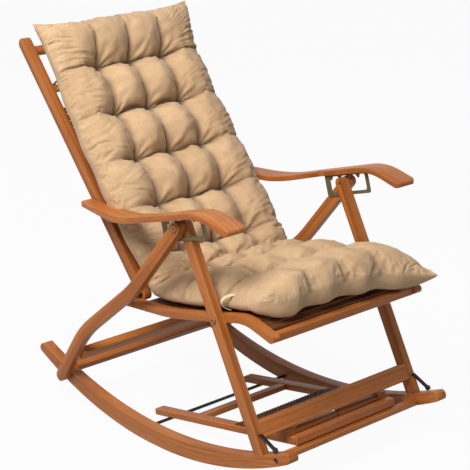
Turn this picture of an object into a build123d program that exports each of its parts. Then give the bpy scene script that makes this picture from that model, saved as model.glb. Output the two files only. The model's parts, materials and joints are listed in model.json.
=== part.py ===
from build123d import *
import math
import os

os.makedirs("parts", exist_ok=True)

# A folding bamboo rocking chair with adjustable back, quilted pad and foot massager.
# Millimetres. Y runs from the front (-) to the back (+), Z is up, X is across (+X is the sitter's left).
# Side-view points are (y, z), measured from the spot where the rockers touch the floor.

# Rockers
rocker_radius = 964.0
floor_flat_depth = 0.4
nose_reach = 447.0
tail_reach = 463.0
nose_depth = 24.0
middle_depth = 40.0
tail_depth = 22.0
rocker_inner_x = 236.0
rocker_thick = 30.0
nose_round = 10.5
tail_round = 9.0

# Layers across the chair
front_leg_thick = 20.0
bracket_slot = 4.0
rear_leg_thick = 20.0
back_rail_thick = 20.0
seat_rail_thick = 22.0

# Side frames
front_leg_width = 28.0
front_leg_below = 16.0
rear_leg_width = 29.0
front_foot_y = -346.0
front_foot_up = 36.2
arm_rest_pin = (-98.0, 574.0)
fold_from_tail = 116.0
fold_up = 19.8
rear_leg_knee = (252.0, 228.0)
rear_leg_shoulder = (58.0, 386.0)
rear_leg_knee_radius = 300.0
rear_leg_shoulder_radius = 400.0
foot_gap = 0.3

# Seat frame
seat_pivot_share = 0.629
seat_rail_width = 19.0
seat_rail_tail = 12.0
seat_bend = (-30.0, 339.0)
seat_crest = (-280.0, 395.3)
seat_tip = (-371.0, 368.5)
seat_bend_radius = 600.0
seat_crest_radius = 120.0
seat_front_rail_set = 16.0
seat_front_rail_size = (20.0, 20.0)
seat_front_rail_drop = 3.0
seat_rear_rail_y = 92.0
seat_rear_rail_size = (26.0, 18.0)
seat_rear_rail_drop = 12.0

# Back frame
back_side_gap = 4.0
back_pivot = (106.0, 346.9)
back_lean = 39.3
back_rail_width = 30.0
back_rail_below = 15.0
back_rail_above = 714.5
back_top_rail_at = 679.0
back_top_rail_size = (22.0, 17.0)
back_middle_rail_at = 569.0
back_middle_rail_size = (16.0, 17.0)
back_cross_set = 6.5
back_spacer_radius = 5.0
arm_pivot_at = 251.4

# Strip mats of seat and back
strip_thick = 5.0
strip_width = 16.4
strip_pitch = 19.0
lacing_thick = 2.0
lacing_width = 14.0
lacing_x = 110.0
back_mat_low = 22.0
back_mat_high = 520.0
back_mat_set = 4.0
back_mat_sag = 6.0
seat_mat_front = 22.0
seat_mat_rear = 118.0
seat_mat_drop = 3.0

# Armrests
arm_thick = 13.0
arm_tail_behind = 18.3
arm_tail_ahead = 151.2
arm_crest = (-193.0, 629.0)
arm_front = (-281.5, 606.5)
arm_dip_radius = 430.0
arm_crest_radius = 158.0
arm_front_inner_x = 244.0
arm_front_outer_x = 310.0
arm_waist_y = -20.0
arm_waist_inner_x = 262.0
arm_waist_outer_x = 303.0
arm_knee_y = 128.0
arm_knee_outer_x = 288.0
arm_tail_gap = 2.0
arm_tail_outer_x = 254.0
arm_front_corner = 14.0
arm_tail_corner = 12.0

# Toothed arm brackets
bracket_thick = 2.5
bracket_rear = -68.0
bracket_front = 79.0
bracket_low = -32.5
bracket_corner = 6.0
bracket_in_arm = 5.0
window_rear = -52.0
window_front = 69.0
window_low = -24.0
window_high = 16.0
tooth_depth = 8.4
tooth_pitch = 31.0
tooth_count = 4
tooth_root = 14.0
tooth_tip = 3.0
groove_clearance = 0.1

# Cross rails of legs and rockers
rear_leg_rail_up = 95.6
rear_leg_rail_ahead = 12.4
rear_leg_rail_size = (22.0, 30.0)
front_leg_rail_up = 50.0
front_leg_rail_size = (15.0, 42.0)
rear_rocker_rail_from_tail = 111.0
rear_rocker_rail_up = 29.8
rear_rocker_rail_size = (28.0, 20.0)
front_rocker_rail_y = -371.0
front_rocker_rail_up = 11.4
front_rocker_rail_size = (20.0, 14.0)
nose_bolt_from_nose = 45.0
nose_bolt_up = 13.6

# Footrest
footrest_rear_y = 127.0
footrest_rear_up = 11.0
footrest_front_y = -345.0
footrest_front_up = 35.05
footrest_bar_inner_x = 137.0
footrest_bar_wide = 28.0
footrest_bar_deep = 16.0
footrest_rear_bar_at = 146.0
footrest_rear_bar_size = (26.0, 14.0)
front_board_size = (24.0, 20.0)
rod_from_rear = 49.0
rod_radius = 4.0
glide_gap = 0.3
roller_from_front = 14.0
roller_above = 5.0
roller_radius = 11.0
roller_journal_radius = 4.0
roller_block_length = 44.0
roller_block_rise = 18.0
roller_end_play = 1.0
bead_count = 38
bead_radius = 8.5
bead_waist_radius = 6.2
bead_from_front = 138.0
bead_tenon = 22.0

# Stays between front legs and rockers
stay_pivot_up = 37.0
stay_pivot_ahead = 6.0
stay_foot_y = -392.0
stay_foot_up = 38.6
stay_thick = 1.6
stay_width = 6.0
stay_inner_x = 254.0
stay_outer_x = 259.0
stay_pin_radius = 1.6
stay_foot_height = 6.0

# Bolts, washers and fits
bolt_radius = 4.0
arm_bolt_radius = 3.0
bolt_head_radius = 8.0
bolt_head_thick = 4.0
washer_radius = 10.0
nose_bolt_head_radius = 6.0
nose_bolt_recess = 7.0
nose_bolt_radius = 3.0
blind_end = 6.0
pin_end_gap = 0.5
running_clearance = 0.05
seat_clearance = 0.4

# Quilted pads
pad_side_draw = 9.0
tuft_columns = 4
seat_pad_half_width = 222.0
seat_pad_front_y = -392.0
seat_pad_cut_low = (60.0, 340.0)
seat_pad_cut_high = (-30.0, 420.0)
back_pad_half_width = 216.0
back_pad_low = -30.0
back_pad_high = 700.0
back_pad_wall = 7.5
back_pad_cut_low = (90.0, 356.0)
back_pad_cut_high = (15.0, 410.0)
tuft_first = 60.0
tuft_pitch = 126.0

# Places that follow from the sizes above
rocker_outer_x = rocker_inner_x + rocker_thick
front_leg_inner_x = rocker_outer_x - front_leg_thick
rear_leg_inner_x = rocker_outer_x + bracket_slot
rear_leg_outer_x = rear_leg_inner_x + rear_leg_thick
seat_rail_inner_x = front_leg_inner_x - seat_rail_thick
back_rail_outer_x = seat_rail_inner_x - back_side_gap
back_rail_inner_x = back_rail_outer_x - back_rail_thick
arm_tail_inner_x = back_rail_outer_x + arm_tail_gap
pin_end_x = rear_leg_outer_x - blind_end
rocker_centre_z = rocker_radius - floor_flat_depth

nodes = {}


def keep(name, solid):
    """Store one piece under its name."""
    nodes[name] = solid


def keep_pair(name, solid):
    """Store a piece of the sitter's left side and its mirror image on the right."""
    keep(name + "_left", solid)
    keep(name + "_right", mirror(solid, about=Plane.YZ))


def side_view(profile, x_from, x_to):
    """Solid with a side-view profile (y, z) between two distances from the middle plane."""
    return extrude(Plane.YZ.offset(x_from) * profile, amount=x_to - x_from)


def across(profile, half_width):
    """Solid with a side-view profile that runs right across the chair."""
    return side_view(profile, -half_width, half_width)


def rod(at, x_from, x_to, radius):
    """Round bar along X through a side-view point."""
    return side_view(Pos(at[0], at[1]) * Circle(radius), x_from, x_to)


def ring(at, x_from, x_to, outer, inner):
    """Washer or spacer along X round a side-view point."""
    return rod(at, x_from, x_to, outer) - rod(at, x_from, x_to, inner)


def bolt(at, x_from, x_head, radius, head_radius, head_thick):
    """Bolt along X whose rounded head sits outside x_head."""
    head = rod(at, x_head, x_head + head_thick, head_radius)
    head = fillet(head.edges().sort_by(Axis.X)[-1], head_thick * 0.45)
    return rod(at, x_from, x_head, radius) + head


def direction(start, end):
    """Unit vector from one side-view point to another."""
    return (Vector(*end) - Vector(*start)).normalized()


def xy(point):
    """Side-view point as a pair."""
    return (point.X, point.Y)


def slope(start, end):
    """Rise over run between two side-view points."""
    return (end[1] - start[1]) / (end[0] - start[0])


def board(at, along, size):
    """Rounded rectangular section of size (thickness, width) whose width lies along a direction."""
    turn = math.degrees(math.atan2(along.Y, along.X))
    section = RectangleRounded(size[1], size[0], min(size) * 0.2)
    return Pos(at[0], at[1]) * Rot(0, 0, turn) * section


def rocker_under(y):
    """Height of the rocker's lower edge."""
    return rocker_centre_z - math.sqrt(rocker_radius**2 - y**2)


def above_rocker(y, up):
    """Side-view point at a distance above the rocker's lower edge."""
    return (y, rocker_under(y) + up)


def rocker_end(y, depth):
    """Lower and upper corner of a rocker end, square to the curve."""
    low = Vector(y, rocker_under(y))
    inward = (Vector(0, rocker_centre_z) - low).normalized()
    return low, low + inward * depth


def rocker_profile():
    """Crescent with a short flat where it stands, deepest in the middle."""
    nose_low, nose_top = rocker_end(-nose_reach, nose_depth)
    tail_low, tail_top = rocker_end(tail_reach, tail_depth)
    flat_half = math.sqrt(rocker_radius**2 - rocker_centre_z**2)
    front_mid = (-nose_reach / 2, rocker_under(nose_reach / 2))
    rear_mid = (tail_reach / 2, rocker_under(tail_reach / 2))
    edges = [
        ThreePointArc(nose_low, front_mid, (-flat_half, 0)),
        Line((-flat_half, 0), (flat_half, 0)),
        ThreePointArc((flat_half, 0), rear_mid, tail_low),
        Line(tail_low, tail_top),
        ThreePointArc(tail_top, (0, middle_depth), nose_top),
        Line(nose_top, nose_low),
    ]
    shape = make_face(edges)
    shape = fillet(shape.vertices().sort_by(Axis.X)[:2], nose_round)
    return fillet(shape.vertices().sort_by(Axis.X)[-2:], tail_round)


# Points that keep their place on the rockers
front_foot = above_rocker(front_foot_y, front_foot_up)
fold_pivot = above_rocker(tail_reach - fold_from_tail, fold_up)
nose_bolt_at = above_rocker(nose_bolt_from_nose - nose_reach, nose_bolt_up)
front_rocker_rail_at = above_rocker(front_rocker_rail_y, front_rocker_rail_up)
rear_rocker_rail_at = above_rocker(tail_reach - rear_rocker_rail_from_tail, rear_rocker_rail_up)
stay_foot = above_rocker(stay_foot_y, stay_foot_up)
footrest_rear = above_rocker(footrest_rear_y, footrest_rear_up)
footrest_front = above_rocker(footrest_front_y, footrest_front_up)

# Side-view lines shared by several pieces
front_leg_dir = direction(front_foot, arm_rest_pin)
front_leg_ahead = Vector(-front_leg_dir.Y, front_leg_dir.X)
back_dir = Vector(math.sin(math.radians(back_lean)), math.cos(math.radians(back_lean)))
back_ahead = Vector(-back_dir.Y, back_dir.X)
footrest_dir = direction(footrest_rear, footrest_front)
footrest_up = Vector(footrest_dir.Y, -footrest_dir.X)


def on_front_leg(up, ahead=0.0):
    """Point of the front leg: distance up from its foot and ahead of its middle line."""
    return Vector(*front_foot) + front_leg_dir * up + front_leg_ahead * ahead


def on_back(up, ahead=0.0):
    """Point of the back: distance up from its pivot and ahead of the rails' middle line."""
    return Vector(*back_pivot) + back_dir * up + back_ahead * ahead


def on_footrest(from_front, above=0.0):
    """Point of the footrest: distance back from its front and above the bars' middle line."""
    return Vector(*footrest_front) - footrest_dir * from_front + footrest_up * above


rear_leg_run = Vector(*rear_leg_shoulder) - Vector(*rear_leg_knee)
seat_pivot = Vector(*rear_leg_knee) + rear_leg_run * seat_pivot_share
seat_start = seat_pivot - direction(xy(seat_pivot), seat_bend) * seat_rail_tail
seat_end = Vector(*seat_tip) - direction(seat_crest, seat_tip) * (seat_rail_width / 2)
seat_rear_slope = slope(seat_bend, xy(seat_pivot))
seat_middle_slope = slope(seat_crest, seat_bend)
seat_front_slope = slope(seat_tip, seat_crest)


def ease(y, corner_y, radius, change):
    """How far a rounded bend leaves its corner, for a given change of slope."""
    reach = radius * abs(change) / 2
    return change / (4 * reach) * max(0.0, reach - abs(y - corner_y)) ** 2


def seat_line(y):
    """Height of the seat rails' middle line, with rounded bends."""
    if y > seat_bend[0]:
        height = seat_bend[1] + (y - seat_bend[0]) * seat_rear_slope
    elif y > seat_crest[0]:
        height = seat_bend[1] + (y - seat_bend[0]) * seat_middle_slope
    else:
        height = seat_crest[1] + (y - seat_crest[0]) * seat_front_slope
    height += ease(y, seat_bend[0], seat_bend_radius, seat_rear_slope - seat_middle_slope)
    return height + ease(y, seat_crest[0], seat_crest_radius, seat_middle_slope - seat_front_slope)


# The seat is bolted to the front leg where their middle lines cross
cross_gap = seat_bend[1] - front_foot[1] + (front_foot[0] - seat_bend[0]) * seat_middle_slope
cross_rate = front_leg_dir.Y - front_leg_dir.X * seat_middle_slope
seat_bolt_at = on_front_leg(cross_gap / cross_rate)
arm_pivot = on_back(arm_pivot_at)
rod_below = footrest_bar_deep / 2 + rod_radius + glide_gap
rod_at = Vector(*footrest_rear) + footrest_dir * rod_from_rear - footrest_up * rod_below
roller_at = on_footrest(roller_from_front, footrest_bar_deep / 2 + roller_above)
stay_pivot = on_front_leg(stay_pivot_up, front_leg_width / 2 + stay_pivot_ahead)


def running(radius):
    """Radius of the hole for a pin that turns or passes through."""
    return radius + running_clearance


# Rockers and their cross rails
crescent = rocker_profile()
rocker = side_view(crescent, rocker_inner_x, rocker_outer_x)
rocker -= rod(fold_pivot, rocker_inner_x + blind_end, rocker_outer_x, running(bolt_radius))
rocker -= rod(nose_bolt_at, rocker_inner_x + blind_end, rocker_outer_x, running(nose_bolt_radius))
rocker -= rod(nose_bolt_at, rocker_outer_x - nose_bolt_recess, rocker_outer_x, nose_bolt_head_radius + 1.0)
rocker -= rod(xy(rod_at), rocker_inner_x, rocker_inner_x + rocker_thick / 2, running(rod_radius))
keep_pair("rocker", rocker)

rear_rail_face = board(rear_rocker_rail_at, Vector(1, 0.5), rear_rocker_rail_size[::-1])
keep("rear_rocker_rail", across(rear_rail_face, rocker_inner_x))
front_rail_face = board(front_rocker_rail_at, Vector(1, 0), front_rocker_rail_size[::-1])
keep("front_rocker_rail", across(front_rail_face, rocker_inner_x))
rocker_pin_x = rocker_inner_x + blind_end + pin_end_gap
keep_pair("nose_bolt", bolt(nose_bolt_at, rocker_pin_x, rocker_outer_x - nose_bolt_recess,
                            nose_bolt_radius, nose_bolt_head_radius, bolt_head_thick))

rod_end_x = rocker_inner_x + rocker_thick / 2 - pin_end_gap
keep("footrest_rod", rod(xy(rod_at), -rod_end_x, rod_end_x, rod_radius))

keep_pair("fold_pin", rod(fold_pivot, rocker_pin_x, pin_end_x - pin_end_gap, bolt_radius))
keep_pair("fold_washer", ring(fold_pivot, rocker_outer_x, rear_leg_inner_x, washer_radius,
                              running(bolt_radius)))

# Front and rear legs
front_leg_line = Line(xy(on_front_leg(-front_leg_below)), arm_rest_pin)
front_leg = side_view(SlotArc(front_leg_line, front_leg_width), front_leg_inner_x, rocker_outer_x)
front_leg -= side_view(offset(crescent, foot_gap), rocker_inner_x, rocker_outer_x)
front_leg -= rod(arm_rest_pin, front_leg_inner_x, rocker_outer_x, running(bolt_radius))
front_leg -= rod(xy(seat_bolt_at), front_leg_inner_x, rocker_outer_x, running(bolt_radius))
keep_pair("front_leg", front_leg)

leg_curve = FilletPolyline(fold_pivot, rear_leg_knee, rear_leg_shoulder, arm_rest_pin,
                           radius=(rear_leg_knee_radius, rear_leg_shoulder_radius))
rear_leg = side_view(SlotArc(leg_curve, rear_leg_width), rear_leg_inner_x, rear_leg_outer_x)
rear_leg -= rod(arm_rest_pin, rear_leg_inner_x, rear_leg_outer_x, running(bolt_radius))
for hole_at in (fold_pivot, xy(seat_pivot), back_pivot):
    rear_leg -= rod(hole_at, rear_leg_inner_x, pin_end_x, running(bolt_radius))
keep_pair("rear_leg", rear_leg)

rear_leg_dir = direction(fold_pivot, rear_leg_knee)
rear_leg_ahead = Vector(-rear_leg_dir.Y, rear_leg_dir.X)
rear_leg_rail_at = Vector(*fold_pivot) + rear_leg_dir * rear_leg_rail_up + rear_leg_ahead * rear_leg_rail_ahead
keep("rear_leg_rail", across(board(xy(rear_leg_rail_at), rear_leg_dir, rear_leg_rail_size), rear_leg_inner_x))
front_rail_mid = on_front_leg(front_leg_rail_up, front_leg_width / 2 - front_leg_rail_size[0] / 2)
front_leg_rail_face = board(xy(front_rail_mid), front_leg_dir, front_leg_rail_size)
keep("front_leg_rail", across(front_leg_rail_face, front_leg_inner_x))

keep_pair("arm_pin", bolt(arm_rest_pin, front_leg_inner_x, rear_leg_outer_x, bolt_radius, bolt_head_radius,
                          bolt_head_thick))

# Seat frame
seat_curve = FilletPolyline(xy(seat_start), seat_bend, seat_crest, xy(seat_end),
                            radius=(seat_bend_radius, seat_crest_radius))
seat_rail = side_view(SlotArc(seat_curve, seat_rail_width), seat_rail_inner_x, front_leg_inner_x)
for hole_at in (seat_pivot, seat_bolt_at):
    seat_rail -= rod(xy(hole_at), seat_rail_inner_x + blind_end, front_leg_inner_x, running(bolt_radius))
keep_pair("seat_rail", seat_rail)

front_rail_y = seat_tip[0] + seat_front_rail_set
front_rail_at = (front_rail_y, seat_line(front_rail_y) - seat_front_rail_drop)
keep("seat_front_rail", across(board(front_rail_at, Vector(0, 1), seat_front_rail_size), seat_rail_inner_x))
rear_rail_at = (seat_rear_rail_y, seat_line(seat_rear_rail_y) - seat_rear_rail_drop)
seat_rear_rail_face = board(rear_rail_at, Vector(1, 0), seat_rear_rail_size[::-1])
keep("seat_rear_rail", across(seat_rear_rail_face, seat_rail_inner_x))

seat_bolt_from = seat_rail_inner_x + blind_end + pin_end_gap
keep_pair("seat_bolt", bolt(xy(seat_bolt_at), seat_bolt_from, rocker_outer_x, bolt_radius, bolt_head_radius,
                            bolt_head_thick))
keep_pair("seat_pivot_pin", rod(xy(seat_pivot), seat_bolt_from, pin_end_x - pin_end_gap, bolt_radius))
keep_pair("seat_spacer", ring(xy(seat_pivot), front_leg_inner_x, rear_leg_inner_x, bolt_head_radius,
                              running(bolt_radius)))


def strip_mat(centres, tangents, half_width, lacing_path):
    """Mat of cross strips laced together by two straps below them."""
    profile = Sketch()
    for centre, tangent in zip(centres, tangents):
        profile += board(xy(centre), tangent, (strip_thick, strip_width))
    mat = across(profile, half_width)
    strap = side_view(lacing_path, lacing_x - lacing_width / 2, lacing_x + lacing_width / 2)
    return mat + strap + mirror(strap, about=Plane.YZ)


# Seat mat, laid along the seat rails
mat_top = seat_rail_width / 2 - seat_mat_drop
seat_strips = []
seat_tangents = []
mat_y = front_rail_y + seat_mat_front
while mat_y < seat_bend[0] + seat_mat_rear - strip_width / 2:
    run = direction((mat_y + 1, seat_line(mat_y + 1)), (mat_y - 1, seat_line(mat_y - 1)))
    lift = Vector(run.Y, -run.X) * (mat_top - strip_thick / 2)
    seat_strips.append(Vector(mat_y, seat_line(mat_y)) + lift)
    seat_tangents.append(run)
    mat_y += strip_pitch
lacing_drop = strip_thick / 2 + lacing_thick / 2 - 0.3
lacing_up = Vector(0, mat_top - strip_thick / 2 - lacing_drop)
lacing_corners = [xy(Vector(*corner) + lacing_up) for corner in (seat_crest, seat_bend)]
lacing_ends = [xy(strip - Vector(0, lacing_drop)) for strip in (seat_strips[0], seat_strips[-1])]
seat_lacing = FilletPolyline(lacing_ends[0], *lacing_corners, lacing_ends[1],
                             radius=(seat_crest_radius, seat_bend_radius))
keep("seat_mat", strip_mat(seat_strips, seat_tangents, seat_rail_inner_x, SlotArc(seat_lacing, lacing_thick)))

# Back frame
back_rail_end = back_rail_width / 2
back_rail_foot = on_back(back_rail_end - back_rail_below)
back_rail_head = on_back(back_rail_above - back_rail_end)
back_rail_line = Line(xy(back_rail_foot), xy(back_rail_head))
back_rail = side_view(SlotArc(back_rail_line, back_rail_width), back_rail_inner_x, back_rail_outer_x)
back_rail -= rod(back_pivot, back_rail_inner_x, back_rail_outer_x, running(bolt_radius))
back_rail -= rod(xy(arm_pivot), back_rail_inner_x, back_rail_outer_x, running(arm_bolt_radius))
keep_pair("back_rail", back_rail)
top_rail_at = xy(on_back(back_top_rail_at, -back_cross_set))
top_rail_face = board(top_rail_at, back_dir, back_top_rail_size[::-1])
keep("back_top_rail", across(top_rail_face, back_rail_inner_x))
middle_rail_at = xy(on_back(back_middle_rail_at, -back_cross_set))
middle_rail_face = board(middle_rail_at, back_dir, back_middle_rail_size[::-1])
keep("back_middle_rail", across(middle_rail_face, back_rail_inner_x))
back_strip_count = int((back_mat_high - back_mat_low - strip_width) / strip_pitch) + 1
mat_middle = (back_mat_low + back_mat_high) / 2
mat_half = (back_mat_high - back_mat_low) / 2


def back_hang(up):
    """How far the mat hangs behind the rails' middle line, with a shallow sag between its ends."""
    share = max(-1.0, min(1.0, (up - mat_middle) / mat_half))
    return back_mat_set + back_mat_sag * (1 - share**2)


back_strips = []
back_tangents = []
for index in range(back_strip_count):
    strip_up = back_mat_low + strip_width / 2 + index * strip_pitch
    slope = 2 * back_mat_sag * (strip_up - mat_middle) / mat_half**2
    back_strips.append(on_back(strip_up, -back_hang(strip_up)))
    back_tangents.append((back_dir + back_ahead * slope).normalized())
laced_strips = (back_strips[0], back_strips[back_strip_count // 2], back_strips[-1])
lacing_points = [xy(strip - back_ahead * lacing_drop) for strip in laced_strips]
back_lacing = SlotArc(ThreePointArc(*lacing_points), lacing_thick)
keep("back_mat", strip_mat(back_strips, back_tangents, back_rail_inner_x, back_lacing))
keep_pair("back_pin", rod(back_pivot, back_rail_inner_x, pin_end_x - pin_end_gap, bolt_radius))
keep_pair("back_spacer", ring(back_pivot, back_rail_outer_x, rear_leg_inner_x, back_spacer_radius,
                              running(bolt_radius)))

# Armrests: a curved board in side view, waisted in plan and drawn in to the back rail
arm_tail_end = arm_pivot + Vector(arm_tail_behind, 0)
arm_dip = arm_pivot - Vector(arm_tail_ahead, 0)
arm_curve = FilletPolyline(xy(arm_tail_end), xy(arm_dip), arm_crest, arm_front,
                           radius=(arm_dip_radius, arm_crest_radius))
arm_side = side_view(SlotArc(arm_curve, arm_thick), arm_tail_inner_x - 5, arm_front_outer_x + 5)
arm_front_y = arm_front[0] - arm_thick / 2
arm_tail_y = arm_tail_end.X + arm_thick / 2
bulge_y = arm_front_y * 0.62 + arm_waist_y * 0.38
bulge_outer_x = arm_front_outer_x * 0.62 + arm_waist_outer_x * 0.38 + 1.5
bulge_inner_x = arm_front_inner_x * 0.62 + arm_waist_inner_x * 0.38 - 2.5
front_inner = (arm_front_inner_x, arm_front_y)
front_outer = (arm_front_outer_x, arm_front_y)
waist_inner = (arm_waist_inner_x, arm_waist_y)
waist_outer = (arm_waist_outer_x, arm_waist_y)
arm_plan = make_face([
    Line(front_inner, front_outer),
    ThreePointArc(front_outer, (bulge_outer_x, bulge_y), waist_outer),
    Polyline(waist_outer, (arm_knee_outer_x, arm_knee_y), (arm_tail_outer_x, arm_tail_y),
             (arm_tail_inner_x, arm_tail_y), (arm_tail_inner_x, arm_knee_y), waist_inner),
    ThreePointArc(waist_inner, (bulge_inner_x, bulge_y), front_inner),
])
arm_plan = fillet(arm_plan.vertices().sort_by(Axis.Y)[:2], arm_front_corner)
arm_plan = fillet(arm_plan.vertices().sort_by(Axis.Y)[-2:], arm_tail_corner)
arm_low = arm_dip.Y - 40
arm_block = extrude(Plane.XY.offset(arm_low) * arm_plan, amount=arm_crest[1] + 40 - arm_low)
armrest = arm_side & arm_block
armrest -= rod(xy(arm_pivot), arm_tail_inner_x - 5, arm_tail_outer_x - blind_end, running(arm_bolt_radius))

# Toothed bracket: a plate let into the arm, with a window whose teeth catch the pin
bracket_dir = direction(xy(arm_dip), arm_crest)
bracket_up = Vector(bracket_dir.Y, -bracket_dir.X)
arm_above_pin = (arm_dip - Vector(*arm_rest_pin)).dot(bracket_up) - arm_thick / 2
bracket_high = arm_above_pin + bracket_in_arm


def on_bracket(ahead, up):
    """Point of the bracket: distance ahead of the pin and up from it, along the arm."""
    return xy(Vector(*arm_rest_pin) + bracket_dir * ahead + bracket_up * up)


def bracket_box(rear, front, low, high, corner):
    """Rounded rectangle in the bracket's own directions."""
    middle = on_bracket((rear + front) / 2, (low + high) / 2)
    turn = math.degrees(math.atan2(bracket_dir.Y, bracket_dir.X))
    return Pos(*middle) * Rot(0, 0, turn) * RectangleRounded(front - rear, high - low, corner)


plate = bracket_box(bracket_rear, bracket_front, bracket_low, bracket_high, bracket_corner)
plate -= bracket_box(window_rear, window_front, window_low, window_high, bracket_corner)
for index in range(tooth_count):
    tooth_at = (index - (tooth_count - 1) / 2) * tooth_pitch
    tooth_points = [
        on_bracket(tooth_at - tooth_root * 0.65, window_high + 0.5),
        on_bracket(tooth_at - tooth_tip / 2, window_high - tooth_depth),
        on_bracket(tooth_at + tooth_tip / 2, window_high - tooth_depth),
        on_bracket(tooth_at + tooth_root * 0.35, window_high + 0.5),
    ]
    plate += make_face(Polyline(*tooth_points, close=True))
bracket_mid_x = rocker_outer_x + bracket_slot / 2
bracket = side_view(plate, bracket_mid_x - bracket_thick / 2, bracket_mid_x + bracket_thick / 2)
groove = bracket_box(bracket_rear - 0.2, bracket_front + 0.2, arm_above_pin - 12,
                     bracket_high + groove_clearance, 1.0)
groove_half = bracket_thick / 2 + groove_clearance
armrest -= side_view(groove, bracket_mid_x - groove_half, bracket_mid_x + groove_half)
keep_pair("armrest", armrest)
keep_pair("arm_bracket", bracket)
arm_bolt_end = arm_tail_outer_x - blind_end - pin_end_gap
keep_pair("arm_bolt", rod(xy(arm_pivot), back_rail_inner_x, arm_bolt_end, arm_bolt_radius))

# Footrest: two bars with cross bars, a roller on blocks and a row of beads
bar_outer_x = footrest_bar_inner_x + footrest_bar_wide
bar_run = Vector(*footrest_front) - Vector(*footrest_rear)
bar_middle = Vector(*footrest_rear) + bar_run * 0.5
bar_face = board(xy(bar_middle), footrest_dir, (footrest_bar_deep, bar_run.length))
keep_pair("footrest_bar", side_view(bar_face, footrest_bar_inner_x, bar_outer_x))
bead_at = on_footrest(bead_from_front, footrest_bar_deep / 2 + bead_waist_radius + running_clearance)
rear_bar_at = xy(Vector(*footrest_rear) + footrest_dir * footrest_rear_bar_at)
keep("footrest_rear_bar", across(board(rear_bar_at, footrest_dir, footrest_rear_bar_size[::-1]),
                                 footrest_bar_inner_x))
front_board_at = on_footrest(-front_board_size[0] / 2, (front_board_size[1] - footrest_bar_deep) / 2)
front_board_face = board(xy(front_board_at), footrest_dir, front_board_size[::-1])
keep("footrest_front_board", across(front_board_face, bar_outer_x))

block_half = roller_block_length / 2
block_base = footrest_bar_deep / 2
block_face = make_face(Polyline(
    xy(on_footrest(roller_from_front - block_half * 0.55, block_base)),
    xy(on_footrest(roller_from_front - block_half * 0.45, block_base + roller_block_rise)),
    xy(on_footrest(roller_from_front + block_half * 0.55, block_base + roller_block_rise)),
    xy(on_footrest(roller_from_front + block_half * 1.45, block_base)),
    close=True))
roller_block = side_view(block_face, footrest_bar_inner_x, bar_outer_x)
journal_end = footrest_bar_inner_x + footrest_bar_wide * 0.6
roller_block -= rod(xy(roller_at), footrest_bar_inner_x, journal_end + 0.5, running(roller_journal_radius))
keep_pair("roller_block", roller_block)


def turned(points, at):
    """Turned piece along X from (x, radius) points of its right-hand outline."""
    outline = [(points[0][0], 0)] + points + [(points[-1][0], 0)]
    profile = make_face(Polyline(*outline, close=True))
    spun = revolve(profile, axis=Axis.X)
    return Pos(0, at[0], at[1]) * spun


roller_end = footrest_bar_inner_x - roller_end_play
half_roller = [
    (roller_end, roller_radius - 2.0),
    (roller_end - 4.0, roller_radius),
    (6.0, roller_radius),
    (3.0, roller_radius - 2.5),
]
roller_outline = [(-journal_end, roller_journal_radius), (-roller_end, roller_journal_radius)]
roller_outline += [(-x, r) for x, r in half_roller]
roller_outline += list(reversed(half_roller))
roller_outline += [(roller_end, roller_journal_radius), (journal_end, roller_journal_radius)]
keep("massage_roller", turned(roller_outline, xy(roller_at)))

bead_pitch = 2 * (footrest_bar_inner_x - 1.0) / bead_count
bead_outline = [(-footrest_bar_inner_x - bead_tenon, bead_waist_radius)]
for index in range(bead_count):
    bead_x = -footrest_bar_inner_x + 1.0 + (index + 0.5) * bead_pitch
    bead_outline.append((bead_x - bead_pitch * 0.5, bead_waist_radius))
    bead_outline.append((bead_x - bead_pitch * 0.2, bead_radius))
    bead_outline.append((bead_x + bead_pitch * 0.2, bead_radius))
bead_outline.append((footrest_bar_inner_x - 1.0, bead_waist_radius))
bead_outline.append((footrest_bar_inner_x + bead_tenon, bead_waist_radius))
keep("bead_row", turned(bead_outline, xy(bead_at)))

# Stays: forked straps on the front legs whose feet stand on the rockers
hinge_face = SlotArc(Line(xy(stay_pivot), xy(on_front_leg(stay_pivot_up, front_leg_width / 2))), stay_width)
hinge_face -= board(xy(on_front_leg(stay_pivot_up, front_leg_width / 2 - 20.0)), front_leg_dir, (40.0, 60.0))
stay_hinge = side_view(hinge_face, stay_inner_x + stay_thick + 0.3, stay_outer_x - 0.3)
stay_hinge += rod(xy(stay_pivot), stay_inner_x, stay_outer_x + stay_thick, stay_pin_radius)
keep_pair("stay_hinge", stay_hinge)
strap_face = SlotArc(Line(xy(stay_pivot), stay_foot), stay_width)
strap_face -= Pos(*xy(stay_pivot)) * Circle(running(stay_pin_radius))
stay = side_view(strap_face, stay_inner_x, stay_inner_x + stay_thick)
stay += side_view(strap_face, stay_outer_x, stay_outer_x + stay_thick)
foot_shape = Pos(*stay_foot) * Circle(stay_foot_height)
stay += side_view(foot_shape, stay_inner_x, stay_outer_x + stay_thick)
stay -= side_view(offset(crescent, foot_gap), rocker_inner_x, rocker_outer_x)
keep_pair("stay", stay)


def pad_section(half_width, edge, crest, valley, inset=0.0):
    """Section of a quilted pad, or of its core at an inset: flat below, drawn-in sides, bulges on top."""
    side = half_width - inset
    rim = side - pad_side_draw
    rim_high = edge - inset
    tufts = [half_width * (1 - 2 * index / tuft_columns) for index in range(1, tuft_columns)]
    lows = [(rim, rim_high)] + [(tuft, valley - inset) for tuft in tufts] + [(-rim, rim_high)]
    rim_middle = (inset + rim_high) / 2
    edges = [Line((-rim, inset), (rim, inset))]
    edges.append(ThreePointArc((rim, inset), (side, rim_middle), (rim, rim_high)))
    for start, end in zip(lows, lows[1:]):
        edges.append(ThreePointArc(start, ((start[0] + end[0]) / 2, crest - inset), end))
    edges.append(ThreePointArc((-rim, rim_high), (-side, rim_middle), (-rim, inset)))
    return make_face(edges)


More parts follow.
